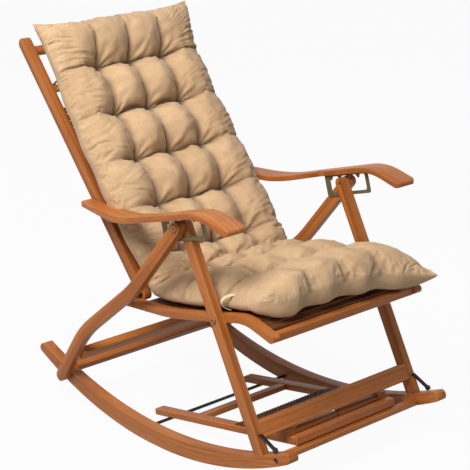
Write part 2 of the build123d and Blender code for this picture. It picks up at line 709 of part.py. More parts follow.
# Seat pad: stations run back from the front seam,
# (distance, lift off the seat, edge, crest, valley, narrowing)
seat_stations = [
    (0.0, 51.0, 16.0, 24.0, 20.0, 3.0),
    (22.0, 14.0, 52.0, 72.0, 64.0, 1.0),
    (57.0, 1.0, 56.0, 90.0, 80.0, 0.0),
    (90.0, 1.0, 46.0, 78.0, 68.0, 0.0),
    (112.0, 1.0, 42.0, 75.0, 65.0, 0.0),
    (134.0, 1.0, 42.0, 76.0, 66.0, 0.0),
    (197.0, 0.0, 42.0, 70.0, 52.0, 2.0),
    (272.0, 0.0, 52.0, 86.0, 74.0, 0.0),
    (342.0, 0.0, 56.0, 80.0, 62.0, 2.0),
    (462.0, 0.0, 56.0, 70.0, 60.0, 0.0),
]
seat_sections = []
for distance, lift, edge, crest, valley, narrow in seat_stations:
    station_y = seat_pad_front_y + distance
    base_z = seat_line(station_y) + mat_top + seat_clearance + lift
    station = Plane(origin=(0, station_y, base_z), x_dir=(1, 0, 0), z_dir=(0, -1, 0))
    seat_sections.append(station * pad_section(seat_pad_half_width - narrow, edge, crest, valley))
seat_pad = loft(seat_sections, ruled=True)


def cut_plane(low, high):
    """Plane across the chair through two side-view points, facing the front."""
    along = direction(low, high)
    return Plane(origin=(0, low[0], low[1]), x_dir=(1, 0, 0), z_dir=(0, -along.Y, along.X))


seat_pad = split(seat_pad, bisect_by=cut_plane(seat_pad_cut_low, seat_pad_cut_high), keep=Keep.TOP)
keep("seat_cushion", seat_pad)

# Back pad: stations run up from the lower end,
# (distance up, lift off the rails, edge, crest, valley, narrowing)
back_stations = [(back_pad_low, 0.0, 60.0, 96.0, 84.0, 0.0)]
for row in range(4):
    tuft_up = tuft_first + row * tuft_pitch
    back_stations.append((tuft_up, 0.0, 54.0, 80.0, 40.0, 2.0))
    back_stations.append((tuft_up + tuft_pitch / 2, 0.0, 60.0, 98.0, 82.0, 0.0))
back_stations += [
    (tuft_first + 4 * tuft_pitch, 18.0, 56.0, 82.0, 48.0, 2.0),
    (back_pad_high - 60.0, 38.0, 58.0, 88.0, 76.0, 0.0),
    (back_pad_high - 18.0, 56.0, 46.0, 62.0, 54.0, 0.0),
    (back_pad_high, 76.0, 16.0, 24.0, 20.0, 3.0),
]
rail_face = back_rail_width / 2 + seat_clearance


def back_section(up, lift, edge, crest, valley, narrow, inset=0.0):
    """Section of the back pad, square to the back rails."""
    origin = on_back(up, rail_face + lift)
    station = Plane(origin=(0, origin.X, origin.Y), x_dir=(1, 0, 0), z_dir=(0, -back_dir.X, -back_dir.Y))
    return station * pad_section(back_pad_half_width - narrow, edge, crest, valley, inset)


# The core is left out, because the loose fill there weighs next to nothing
back_pad = loft([back_section(*sizes) for sizes in back_stations], ruled=True)
back_pad -= loft([back_section(*sizes, back_pad_wall) for sizes in back_stations[1:-1]], ruled=True)
back_pad = split(back_pad, bisect_by=cut_plane(back_pad_cut_low, back_pad_cut_high), keep=Keep.BOTTOM)
keep("back_cushion", back_pad)

# Centre the chair front to back on the origin and write each piece
whole = Compound(children=[Part() + solid for solid in nodes.values()]).bounding_box()
centre_y = (whole.min.Y + whole.max.Y) / 2
for name, solid in nodes.items():
    moved = Pos(0, -centre_y, 0) * solid
    moved.label = name
    export_step(moved, os.path.join("parts", name + ".step"))

joint_points = {
    "fold": Vector(*fold_pivot),
    "back": Vector(*back_pivot),
    "arm": arm_pivot,
    "roller": roller_at,
    "stay": stay_pivot,
    "seat_pivot": seat_pivot,
}
for name, point in joint_points.items():
    print(name, round(point.X - centre_y, 4), round(point.Y, 4))
print("slide direction", round(footrest_dir.X, 6), round(footrest_dir.Y, 6))
print("size", whole.size, "centre", round(centre_y, 4))
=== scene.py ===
"""Looks of a folding bamboo rocking chair with a tufted pad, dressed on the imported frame.

Lengths are in metres. The chair faces -Y, its width runs along X and +Z is up.
"""
import json
import logging
import math
from dataclasses import dataclass
from dataclasses import field
from enum import Enum
from typing import Optional
from typing import Sequence

import bmesh
import bpy
import numpy as np
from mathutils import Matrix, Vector

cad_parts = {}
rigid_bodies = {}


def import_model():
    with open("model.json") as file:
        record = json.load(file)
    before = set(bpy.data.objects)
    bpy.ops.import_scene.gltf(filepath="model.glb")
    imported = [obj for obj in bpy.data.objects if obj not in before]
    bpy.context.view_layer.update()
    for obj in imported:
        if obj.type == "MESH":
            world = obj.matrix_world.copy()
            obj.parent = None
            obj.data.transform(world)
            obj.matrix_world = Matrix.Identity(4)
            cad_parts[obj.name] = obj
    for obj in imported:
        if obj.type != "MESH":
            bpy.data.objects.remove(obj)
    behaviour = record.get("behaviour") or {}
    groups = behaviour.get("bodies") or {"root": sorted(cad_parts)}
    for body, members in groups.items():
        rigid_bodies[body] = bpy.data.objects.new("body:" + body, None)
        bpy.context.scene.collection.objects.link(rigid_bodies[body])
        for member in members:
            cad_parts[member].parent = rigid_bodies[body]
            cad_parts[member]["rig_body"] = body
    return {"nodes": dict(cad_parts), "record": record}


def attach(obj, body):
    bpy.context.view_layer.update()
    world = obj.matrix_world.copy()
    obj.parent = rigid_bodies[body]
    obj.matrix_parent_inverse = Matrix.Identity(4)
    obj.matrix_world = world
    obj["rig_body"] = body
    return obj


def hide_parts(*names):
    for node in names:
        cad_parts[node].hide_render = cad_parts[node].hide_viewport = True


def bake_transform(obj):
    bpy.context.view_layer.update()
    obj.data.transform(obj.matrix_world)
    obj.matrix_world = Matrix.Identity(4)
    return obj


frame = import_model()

log = logging.getLogger("rocking_chair")

MERGE_DISTANCE = 2e-5

Colour = tuple[int, int, int]
Point = tuple[float, float, float]
Pair = tuple[float, float]
Shape = tuple[np.ndarray, np.ndarray]
Socket = bpy.types.NodeSocket
Material = bpy.types.Material


class Grain(Enum):
    """How the bamboo's fibres run along a piece: the degree of its fitted middle line."""

    STRAIGHT = 1
    BENT = 6


class Region(Enum):
    """Which body a part of the pad follows."""

    SEAT = "leg_frame"
    BACK = "back_frame"


def linear(colour: Colour) -> tuple[float, float, float, float]:
    """Turn an 8-bit display colour into the linear colour that shaders take.

    Args:
        colour: Red, green and blue from 0 to 255.

    Returns:
        Linear red, green, blue and an alpha of 1.
    """
    parts = np.array(colour, float) / 255.0
    low = parts / 12.92
    high = ((parts + 0.055) / 1.055) ** 2.4
    red, green, blue = np.where(parts <= 0.04045, low, high)
    return (float(red), float(green), float(blue), 1.0)


class Graph:
    """A node tree, with short calls to add and join its nodes."""

    def __init__(self, tree: bpy.types.NodeTree) -> None:
        """Work on that tree."""
        self.tree = tree

    def add(self, kind: str, inputs: Optional[dict] = None, **settings: object) -> bpy.types.Node:
        """Add one node.

        Args:
            kind: Blender's node type, without its ShaderNode prefix.
            inputs: Socket names or numbers, each with a value or a socket to join.
            settings: Properties of the node itself.

        Returns:
            The new node.
        """
        node = self.tree.nodes.new("ShaderNode" + kind)
        for name, value in settings.items():
            setattr(node, name, value)
        for name, value in (inputs or {}).items():
            if isinstance(value, Socket):
                self.tree.links.new(value, node.inputs[name])
            else:
                node.inputs[name].default_value = value
        return node

    def math(self, operation: str, *values: object) -> Socket:
        """Join values by one arithmetic step.

        Args:
            operation: Name of the step, as the Math node has it.
            values: Numbers or sockets, in order.

        Returns:
            The result's socket.
        """
        inputs = dict(enumerate(values))
        return self.add("Math", inputs, operation=operation).outputs[0]

    def noise(self, vector: Socket, scale: float, detail: float = 4.0,
              rough: float = 0.55) -> Socket:
        """Add fractal noise on a vector.

        Args:
            vector: Where the noise is read.
            scale: Its frequency.
            detail: Number of octaves.
            rough: Share that each finer octave keeps.

        Returns:
            The noise value's socket, about 0.5 on average.
        """
        inputs = {"Vector": vector, "Scale": scale, "Detail": detail, "Roughness": rough}
        return self.add("TexNoise", inputs).outputs["Fac"]

    def stretched(self, vector: Socket, scale: Sequence[float]) -> Socket:
        """Scale a vector along its three axes.

        Args:
            vector: The vector to scale.
            scale: Factor for each axis.

        Returns:
            The scaled vector's socket.
        """
        return self.add("Mapping", {"Vector": vector, "Scale": tuple(scale)}).outputs[0]

    def tones(self, value: Socket, places: Sequence[float], colours: Sequence[Colour]) -> Socket:
        """Turn a value into colour by stops.

        Args:
            value: Number from 0 to 1.
            places: Where the stops lie, in order.
            colours: Display colour of each stop.

        Returns:
            The colour's socket.
        """
        node = self.add("ValToRGB", {"Fac": value})
        elements = node.color_ramp.elements
        for _ in places[2:]:
            elements.new(0.5)
        for element, place, colour in zip(elements, places, colours):
            element.position = place
            element.color = linear(colour)
        return node.outputs["Color"]

    def blended(self, values: Sequence[Socket], weights: Sequence[float], less: float) -> Socket:
        """Add up values by their weights and take a constant away.

        Args:
            values: The values' sockets.
            weights: Weight of each value.
            less: What is taken away from the sum.

        Returns:
            The result's socket.
        """
        total = self.math("MULTIPLY", values[0], weights[0])
        for value, weight in zip(values[1:], weights[1:]):
            total = self.math("MULTIPLY_ADD", value, weight, total)
        return self.math("SUBTRACT", total, less)

    def varied(self, value: Socket, middle: float, spread: float) -> Socket:
        """Let a value from 0 to 1 vary a number round its middle.

        Args:
            value: The value's socket.
            middle: The number at a value of one half.
            spread: Difference between the ends.

        Returns:
            The number's socket.
        """
        return self.math("MULTIPLY_ADD", value, spread, middle - spread / 2)

    def shaded(self, colour: Socket, factor: Socket) -> Socket:
        """Multiply a colour by a grey factor.

        Args:
            colour: The colour's socket.
            factor: The grey's socket.

        Returns:
            The darker or lighter colour's socket.
        """
        grey = self.add("CombineColor", {"Red": factor, "Green": factor, "Blue": factor}).outputs[0]
        mix = self.add("Mix", {0: 1.0, 6: colour, 7: grey}, data_type="RGBA", blend_type="MULTIPLY")
        return mix.outputs[2]

    def bumped(self, height: Socket, strength: float, distance: float) -> Socket:
        """Turn a height into a bent normal.

        Args:
            height: Height's socket, from 0 to 1.
            strength: Share of the bend that is used.
            distance: Depth in metres.

        Returns:
            The normal's socket.
        """
        inputs = {"Height": height, "Strength": strength, "Distance": distance}
        return self.add("Bump", inputs).outputs[0]

    def seen(self) -> Socket:
        """Make a value of 1 on rays that see a thing directly, in gloss or through glass, else 0.

        Returns:
            The value's socket.
        """
        path = self.add("LightPath").outputs
        value = path["Is Camera Ray"]
        for ray in ("Is Glossy Ray", "Is Transmission Ray"):
            value = self.math("MAXIMUM", value, path[ray])
        return value


class MaterialGraph(Graph):
    """The node tree of a new material."""

    def __init__(self, name: str) -> None:
        """Start an empty material.

        Args:
            name: Name of the material.
        """
        self.material = bpy.data.materials.new(name)
        self.material.use_nodes = True
        super().__init__(self.material.node_tree)
        self.tree.nodes.clear()
        self.output = self.add("OutputMaterial")

    def close(self, shader: Socket) -> Material:
        """Join a shader to the output and hand the material over."""
        self.tree.links.new(shader, self.output.inputs["Surface"])
        return self.material

    def principled(self, inputs: dict) -> Material:
        """Close the material with one Principled shader of these inputs."""
        return self.close(self.add("BsdfPrincipled", inputs).outputs[0])


@dataclass(frozen=True)
class BambooFinish:
    """Stained laminated bamboo: narrow strips side by side, fine fibres, faint joints, satin lacquer.

    The pattern reads the attribute "grain": along, across and through the piece, in metres. The weights
    are the shares of the strips' tone, the fibres, the veins and the clouds in the colour. The attribute
    set on the bevel faces marks the edges, which are lighter in patches: partly wear, partly a painted edge
    highlight.
    """

    name: str
    light: Colour
    middle: Colour
    dark: Colour
    strip_width: float = 0.0062
    strip_depth: float = 2.6
    fibres: Point = (9.0, 760.0, 760.0)
    veins: Point = (3.0, 150.0, 150.0)
    clouds: Point = (5.0, 14.0, 14.0)
    scuffs: Point = (24.0, 90.0, 90.0)
    weights: tuple[float, ...] = (0.20, 0.46, 0.34, 0.26)
    less: float = 0.13
    stops: Point = (0.22, 0.50, 0.80)
    joint_pitch: float = 0.31
    joint_scatter: float = 7.3
    joint_sharp: float = 60.0
    joint_shade: float = 0.16
    joint_depth: float = 0.3
    # How much lighter the edges get in patches: wear and a painted highlight.
    wear_and_highlight: float = 0.55
    rough: float = 0.46
    rough_spread: float = 0.22
    coat: float = 0.05
    coat_rough: float = 0.24
    specular: float = 0.24
    bump: float = 0.35
    relief: float = 0.00035

    def material(self) -> Material:
        """Make the finish as a material.

        Returns:
            The new material.
        """
        graph = MaterialGraph(self.name)
        grain = graph.add("Attribute", attribute_name="grain").outputs["Vector"]
        parts = graph.add("SeparateXYZ", {0: grain}).outputs
        strip = graph.math("FLOOR", graph.math("DIVIDE", parts[1], self.strip_width))
        layer = graph.math("FLOOR", graph.math("DIVIDE", parts[2], self.strip_width * self.strip_depth))
        cell = graph.add("CombineXYZ", {0: strip, 1: layer, 2: 0.5}).outputs[0]
        tone = graph.add("TexWhiteNoise", {"Vector": cell}, noise_dimensions="3D").outputs["Value"]
        fibre = graph.noise(graph.stretched(grain, self.fibres), 1.0, 5.0, 0.62)
        vein = graph.noise(graph.stretched(grain, self.veins), 1.0, 3.0, 0.5)
        cloud = graph.noise(graph.stretched(grain, self.clouds), 1.0, 3.0, 0.5)
        scuff = graph.noise(graph.stretched(grain, self.scuffs), 1.0, 3.0, 0.6)
        shift = graph.math("MULTIPLY", tone, self.joint_scatter)
        place = graph.math("ADD", graph.math("DIVIDE", parts[0], self.joint_pitch), shift)
        near = graph.math("ABSOLUTE", graph.math("SUBTRACT", graph.math("FRACT", place), 0.5))
        joint = graph.math("SMOOTH_MIN", graph.math("MULTIPLY", near, self.joint_sharp), 1.0, 0.4)
        mixed = graph.blended((tone, fibre, vein, cloud), self.weights, self.less)
        colour = graph.tones(mixed, self.stops, (self.dark, self.middle, self.light))
        line = graph.math("MULTIPLY_ADD", joint, self.joint_shade, 1.0 - self.joint_shade)
        colour = graph.shaded(colour, line)
        # Edges lighter in patches: partly wear, partly a painted highlight along the edges.
        edge = graph.add("Attribute", attribute_name="edge_wear_and_highlight").outputs["Fac"]
        wear_and_highlight = graph.math("MULTIPLY", edge, graph.math("MULTIPLY_ADD", scuff, 1.1, -0.2))
        colour = graph.shaded(colour, graph.math("MULTIPLY_ADD", wear_and_highlight, self.wear_and_highlight, 1.0))
        height = graph.math("MULTIPLY_ADD", joint, self.joint_depth, fibre)
        return graph.principled({
            "Base Color": colour,
            "Roughness": graph.varied(fibre, self.rough, self.rough_spread),
            "Coat Weight": self.coat,
            "Coat Roughness": self.coat_rough,
            "Specular IOR Level": self.specular,
            "Normal": graph.bumped(height, self.bump, self.relief),
        })


@dataclass(frozen=True)
class SteelFinish:
    """Painted or blackened steel with fine speckle, soft clouds and worn high spots."""

    name: str
    paint: Colour
    worn: Colour
    metallic: float
    rough: float
    rough_spread: float = 0.3
    weights: Pair = (0.35, 0.75)
    stops: Point = (0.36, 0.62, 0.86)
    bump: float = 0.25
    relief: float = 0.0002

    def material(self) -> Material:
        """Make the finish as a material.

        Returns:
            The new material.
        """
        graph = MaterialGraph(self.name)
        place = graph.add("TexCoord").outputs["Object"]
        speckle = graph.noise(place, 1400.0, 2.0, 0.6)
        cloud = graph.noise(place, 60.0, 5.0, 0.6)
        mixed = graph.blended((speckle, cloud), self.weights, 0.0)
        return graph.principled({
            "Base Color": graph.tones(mixed, self.stops, (self.paint, self.paint, self.worn)),
            "Metallic": self.metallic,
            "Roughness": graph.varied(cloud, self.rough, self.rough_spread),
            "Normal": graph.bumped(speckle, self.bump, self.relief),
        })


@dataclass(frozen=True)
class ClothFinish:
    """Brushed woven cloth: a fine plain weave, slubs, mottled nap and a soft sheen.

    The weave follows the piece's own UV map, whose unit is a metre. The weights are the shares of the
    slubs, the nap, the patches and the weave in the colour. The attribute "crease" paints shade into the
    cloth's colour where it lies deep, in the creases and at the tufts.
    """

    name: str
    light: Colour
    middle: Colour
    dark: Colour
    thread: float = 0.0011
    slubs: Point = (30.0, 900.0, 1.0)
    weights: tuple[float, ...] = (0.52, 0.36, 0.28, 0.10)
    less: float = 0.13
    stops: Point = (0.26, 0.50, 0.76)
    # Share of painted shade at the bottom of the creases.
    crease_shade: float = 0.6
    rough: float = 0.88
    sheen: float = 0.18
    sheen_rough: float = 0.45
    specular: float = 0.22
    slub_depth: float = 1.3
    weave_depth: float = 0.5
    bump: float = 0.45
    relief: float = 0.0005

    def material(self) -> Material:
        """Make the finish as a material.

        Returns:
            The new material.
        """
        graph = MaterialGraph(self.name)
        flat = graph.add("UVMap").outputs[0]
        parts = graph.add("SeparateXYZ", {0: flat}).outputs
        turn = 2.0 * math.pi / self.thread
        warp = graph.math("SINE", graph.math("MULTIPLY", parts[0], turn))
        weft = graph.math("SINE", graph.math("MULTIPLY", parts[1], turn))
        weave = graph.math("MULTIPLY_ADD", graph.math("MULTIPLY", warp, weft), 0.5, 0.5)
        long, fine, thick = self.slubs
        slub_across = graph.noise(graph.stretched(flat, (long, fine, thick)), 1.0, 3.0, 0.6)
        slub_along = graph.noise(graph.stretched(flat, (fine, long, thick)), 1.0, 3.0, 0.6)
        slub = graph.math("MULTIPLY", graph.math("ADD", slub_across, slub_along), 0.5)
        nap = graph.noise(flat, 38.0, 5.0, 0.6)
        patch = graph.noise(flat, 7.0, 3.0, 0.5)
        mixed = graph.blended((slub, nap, patch, weave), self.weights, self.less)
        colour = graph.tones(mixed, self.stops, (self.dark, self.middle, self.light))
        # Painted shade: the cloth's colour is darkened where it lies deep in the creases and at the tufts.
        crease = graph.add("Attribute", attribute_name="crease").outputs["Fac"]
        colour = graph.shaded(colour, graph.math("MULTIPLY_ADD", crease, -self.crease_shade, 1.0))
        height = graph.math("MULTIPLY", weave, self.weave_depth)
        height = graph.math("MULTIPLY_ADD", slub, self.slub_depth, height)
        return graph.principled({
            "Base Color": colour,
            "Roughness": self.rough,
            "Sheen Weight": self.sheen,
            "Sheen Roughness": self.sheen_rough,
            "Specular IOR Level": self.specular,
            "Normal": graph.bumped(height, self.bump, self.relief),
        })


@dataclass(frozen=True)
class BoltFinish:
    """A bronzed bolt head with a dark socket, drawn round the bolt's own axis along X."""

    name: str
    rim: Colour
    # The socket's colour is painted shade of a recess that the head's mesh doesn't have.
    socket: Colour
    socket_shade_radius: float = 0.0030
    stops: Pair = (0.44, 0.56)
    speckle_spread: float = 0.5
    metallic: float = 0.25
    rough: float = 0.5
    bump: float = 0.2
    relief: float = 0.0002

    def material(self, axis: Pair) -> Material:
        """Make the finish as a material.

        Args:
            axis: The axis' y and z.

        Returns:
            The material for bolts on that axis.
        """
        graph = MaterialGraph(self.name)
        place = graph.add("TexCoord").outputs["Object"]
        parts = graph.add("SeparateXYZ", {0: place}).outputs
        off = [graph.math("SUBTRACT", parts[index + 1], axis[index]) for index in (0, 1)]
        square = graph.math("MULTIPLY_ADD", off[0], off[0], graph.math("MULTIPLY", off[1], off[1]))
        share = graph.math("DIVIDE", graph.math("SQRT", square), self.socket_shade_radius * 2.0)
        speckle = graph.noise(place, 900.0, 2.0, 0.6)
        # Painted shade: a dark disc at the middle of the head stands in for the socket's recess.
        colour = graph.tones(share, self.stops, (self.socket, self.rim))
        return graph.principled({
            "Base Color": graph.shaded(colour, graph.varied(speckle, 1.0, self.speckle_spread)),
            "Metallic": self.metallic,
            "Roughness": self.rough,
            "Normal": graph.bumped(speckle, self.bump, self.relief),
        })


BAMBOO = BambooFinish("bamboo", (199, 129, 67), (165, 95, 43), (112, 58, 23))
SLAT_BAMBOO = BambooFinish("slat_bamboo", (128, 72, 34), (94, 50, 22), (58, 29, 12),
                           rough=0.5, coat=0.03)
BRACKET_STEEL = SteelFinish("bracket_steel", (106, 98, 68), (140, 130, 94), 0.35, 0.5)
# The bolt's second colour is the painted shade of its socket recess.
BRONZED_BOLT = BoltFinish("bronzed_bolt", (146, 98, 58), (48, 32, 24))
DARK_STEEL = SteelFinish("dark_steel", (46, 43, 42), (96, 90, 84), 0.6, 0.42)
PAD_CLOTH = ClothFinish("pad_cloth", (217, 185, 148), (197, 163, 125), (165, 131, 95))
TAPE_CLOTH = ClothFinish("tape_cloth", (238, 228, 200), (222, 208, 172), (190, 172, 132), thread=0.0008)
THREAD_CLOTH = ClothFinish("thread_cloth", (150, 118, 76), (120, 92, 56), (88, 64, 38), thread=0.0006)


def mesh_coordinates(mesh: bpy.types.Mesh) -> np.ndarray:
    """Read a mesh's vertices.

    Args:
        mesh: The mesh to read.

    Returns:
        Array of one row of x, y, z for each vertex.
    """
    values = np.empty(len(mesh.vertices) * 3, np.float32)
    mesh.vertices.foreach_get("co", values)
    return values.reshape(-1, 3).astype(float)


def new_object(name: str, points: np.ndarray, faces: np.ndarray,
               uv: Optional[np.ndarray] = None) -> bpy.types.Object:
    """Make a smooth mesh object at the origin.

    Args:
        name: Name of the piece.
        points: One row of x, y, z for each vertex.
        faces: One row of four vertex numbers for each face.
        uv: One row of u, v for each vertex, in metres.

    Returns:
        The linked object.
    """
    mesh = bpy.data.meshes.new(name)
    mesh.from_pydata(points.tolist(), [], faces.tolist())
    if uv is not None:
        corner = np.empty(len(mesh.loops), np.int32)
        mesh.loops.foreach_get("vertex_index", corner)
        layer = mesh.uv_layers.new(name="UVMap")
        layer.data.foreach_set("uv", uv[corner].astype(np.float32).ravel())
    mesh.shade_smooth()
    mesh.update()
    return placed(name, mesh)


def placed(name: str, data: bpy.types.ID) -> bpy.types.Object:
    """Make an object of a mesh, a lamp or a camera and link it.

    Args:
        name: Name of the object.
        data: What it shows.

    Returns:
        The linked object.
    """
    thing = bpy.data.objects.new(name, data)
    bpy.context.scene.collection.objects.link(thing)
    return thing


def store_grain(mesh: bpy.types.Mesh, grain: np.ndarray) -> None:
    """Store the place along, across and through the piece, which the bamboo finish reads.

    Args:
        mesh: The piece's mesh.
        grain: One row of three lengths for each vertex.
    """
    layer = mesh.attributes.new("grain", "FLOAT_VECTOR", "POINT")
    layer.data.foreach_set("vector", grain.astype(np.float32).ravel())


def grid_faces(index: np.ndarray) -> np.ndarray:
    """Faces of a grid: each cell joins its four neighbouring vertex numbers.

    Args:
        index: Vertex numbers on a grid of rows and columns.

    Returns:
        One row of four vertex numbers for each cell.
    """
    cells = (index[:-1, :-1], index[:-1, 1:], index[1:, 1:], index[1:, :-1])
    return np.stack([cell.ravel() for cell in cells], axis=1)


def repeated(points: np.ndarray, faces: np.ndarray, places: np.ndarray) -> Shape:
    """Set a shape at many places, as one mesh.

    Args:
        points: The shape's vertices.
        faces: Its faces.
        places: One row of x, y, z for each copy.

    Returns:
        The vertices and faces of all copies.
    """
    shifts = np.arange(len(places)) * len(points)
    copies = (places[:, None, :] + points[None]).reshape(-1, 3)
    return copies, (faces[None] + shifts[:, None, None]).reshape(-1, 4)


def squared_circle(turn: np.ndarray, power: float) -> Shape:
    """Cosine and sine of a turn, raised to a power with their signs kept.

    Args:
        turn: Angles round the circle.
        power: 1 for a circle, less for a squarer section.

    Returns:
        The two coordinates.
    """
    cos, sin = np.cos(turn), np.sin(turn)
    return np.sign(cos) * np.abs(cos) ** power, np.sign(sin) * np.abs(sin) ** power


def closed_bar(half_length: float, half_size: Pair, power: float) -> Shape:
    """Bar along X as a closed tube: a squared or round section with an end point at either side.

    Args:
        half_length: Half of its length.
        half_size: Half of its depth along Y and of its height along Z.
        power: 1 for an ellipse, less for a squarer section.

    Returns:
        The vertices and faces.
    """
    turn, run = np.meshgrid(np.linspace(0.0, 2.0 * np.pi, 25), np.array((-1.0, -1.0, 1.0, 1.0)))
    wide = np.array((0.0, 1.0, 1.0, 0.0))[:, None]
    cos, sin = squared_circle(turn, power)
    points = np.stack([run * half_length, cos * wide * half_size[0], sin * wide * half_size[1]], axis=-1)
    return points.reshape(-1, 3), grid_faces(np.arange(turn.size).reshape(turn.shape))


def ellipsoid(size: np.ndarray, half_rise: float, turns: int) -> Shape:
    """Ellipsoid with its poles along X: sines and cosines of rise and turn, times its half sizes.

    Args:
        size: Half sizes along x, y and z.
        half_rise: How far the rise goes to either side, a quarter turn at the poles.
        turns: Number of points round it.

    Returns:
        The vertices and faces.
    """
    turn, rise = np.meshgrid(np.linspace(0.0, 2.0 * np.pi, turns), np.linspace(-half_rise, half_rise, 7))
    unit = [np.sin(rise), np.cos(rise) * np.cos(turn), np.cos(rise) * np.sin(turn)]
    points = np.stack(unit, axis=-1) * size
    return points.reshape(-1, 3), grid_faces(np.arange(turn.size).reshape(turn.shape))


def dress(piece: bpy.types.Object, material: Material) -> None:
    """Give a piece its material.

    Args:
        piece: The piece to dress.
        material: Its finish.
    """
    piece.data.materials.clear()
    piece.data.materials.append(material)
    log.info("%s: %d vertices, %s", piece.name, len(piece.data.vertices), material.name)


@dataclass
class Timberwork:
    """All bamboo pieces: each node's mesh is copied, its edges are eased and its grain is laid."""

    bent: tuple[str, ...] = ("rocker_left", "rocker_right", "rear_leg_left", "rear_leg_right",
                             "armrest_left", "armrest_right", "seat_rail_left", "seat_rail_right")
    slats: tuple[str, ...] = ("seat_mat", "back_mat")
    plain: tuple[str, ...] = ("massage_roller", "bead_row")
    dark: tuple[str, ...] = ("bead_row",)
    edge: float = 0.0016
    edge_angle: float = 0.7
    edge_segments: int = 3
    flat_angle: float = 0.01
    sharp_angle: float = 0.62
    grain_step: float = 1.37
    grain_drift: Pair = (0.31, 0.17)
    slat_rise: Pair = (0.7, 0.9)
    offset: float = field(default=0.0, init=False)

    def nodes(self) -> list[str]:
        """Names of the nodes whose record slot is a bamboo one."""
        slots = ("bamboo", "dark_bamboo")
        return [name for name, slot in node_slots().items() if slot in slots]

    def eased_mesh(self, source: bpy.types.Mesh, name: str) -> bpy.types.Mesh:
        """Copy a node's mesh with its corners rounded.

        Args:
            source: The node's mesh, of loose triangles.
            name: Name of the node.

        Returns:
            A merged mesh whose sharp edges carry a small round.
        """
        build = bmesh.new()
        build.from_mesh(source)
        bmesh.ops.remove_doubles(build, verts=build.verts, dist=MERGE_DISTANCE)
        if name not in self.slats and name not in self.plain:
            bmesh.ops.dissolve_limit(build, angle_limit=self.flat_angle, verts=build.verts,
                                     edges=build.edges)
            sharp = [edge for edge in build.edges
                     if len(edge.link_faces) == 2 and edge.calc_face_angle() > self.edge_angle]
            # Bevel faces are marked for lighter patches in the bamboo's colour: partly wear, partly a
            # painted edge highlight.
            edge_wear_and_highlight = build.faces.layers.float.new("edge_wear_and_highlight")
            round_edge = bmesh.ops.bevel(build, geom=sharp, offset=self.edge, offset_type="OFFSET",
                                         segments=self.edge_segments, profile=0.5, affect="EDGES",
                                         clamp_overlap=True)
            for face in round_edge["faces"]:
                face[edge_wear_and_highlight] = 1.0
        mesh = bpy.data.meshes.new("timber_" + name)
        build.to_mesh(mesh)
        build.free()
        mesh.shade_smooth()
        mesh.set_sharp_from_angle(angle=self.sharp_angle)
        return mesh

    def lay_grain(self, mesh: bpy.types.Mesh, kind: Grain) -> None:
        """Store each vertex's place along, across and through the piece.

        The main axis is the widest spread of the vertices. A polynomial through the vertices gives the
        middle line, its length gives the place along, and the distances from it give the other two.

        Args:
            mesh: The piece's mesh.
            kind: Whether the fibres are straight or follow a bend.
        """
        points = mesh_coordinates(mesh)
        centre = (points.min(axis=0) + points.max(axis=0)) / 2
        spread = np.linalg.svd(points - centre, full_matrices=False)[2]
        turned = (points - centre) @ spread.T
        reach = np.abs(turned[:, 0]).max() + 1e-9
        share = turned[:, 0] / reach
        run = np.linspace(-1.0, 1.0, 400)
        lines = [np.polyfit(share, turned[:, axis], kind.value) for axis in (1, 2)]
        rise = [np.polyval(np.polyder(line), run) / reach for line in lines]
        step = np.sqrt(1.0 + rise[0] ** 2 + rise[1] ** 2) * reach
        length = np.concatenate([[0.0], np.cumsum((step[1:] + step[:-1]) / 2 * np.diff(run))])
        along = np.interp(share, run, length)
        self.offset += self.grain_step
        columns = [along + self.offset]
        for axis, line, slope, drift in zip((1, 2), lines, rise, self.grain_drift):
            steep = np.sqrt(1.0 + np.interp(share, run, slope) ** 2)
            columns.append((turned[:, axis] - np.polyval(line, share)) / steep + self.offset * drift)
        store_grain(mesh, np.stack(columns, axis=1))

    def lay_slat_grain(self, mesh: bpy.types.Mesh) -> None:
        """Store the grain of a mat, whose strips all run across the chair.

        Args:
            mesh: The mat's mesh.
        """
        points = mesh_coordinates(mesh)
        self.offset += self.grain_step
        run = points[:, 1] * self.slat_rise[0] + points[:, 2] * self.slat_rise[1]
        store_grain(mesh, np.stack([points[:, 0] + self.offset, run, points[:, 2]], axis=1))

    def build(self, bamboo: Material, slats: Material) -> None:
        """Replace every bamboo node by its dressed copy.

        Args:
            bamboo: Finish of the frame.
            slats: Finish of the two mats.
        """
        slots = node_slots()
        for name in self.nodes():
            node = frame["nodes"][name]
            mesh = self.eased_mesh(node.data, name)
            if name in self.slats:
                self.lay_slat_grain(mesh)
            else:
                self.lay_grain(mesh, Grain.BENT if name in self.bent else Grain.STRAIGHT)
            piece = placed("timber_" + name, mesh)
            is_dark = slots[name] == "dark_bamboo" or name in self.dark
            dress(piece, slats if is_dark else bamboo)
            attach(piece, node["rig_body"])
            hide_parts(name)


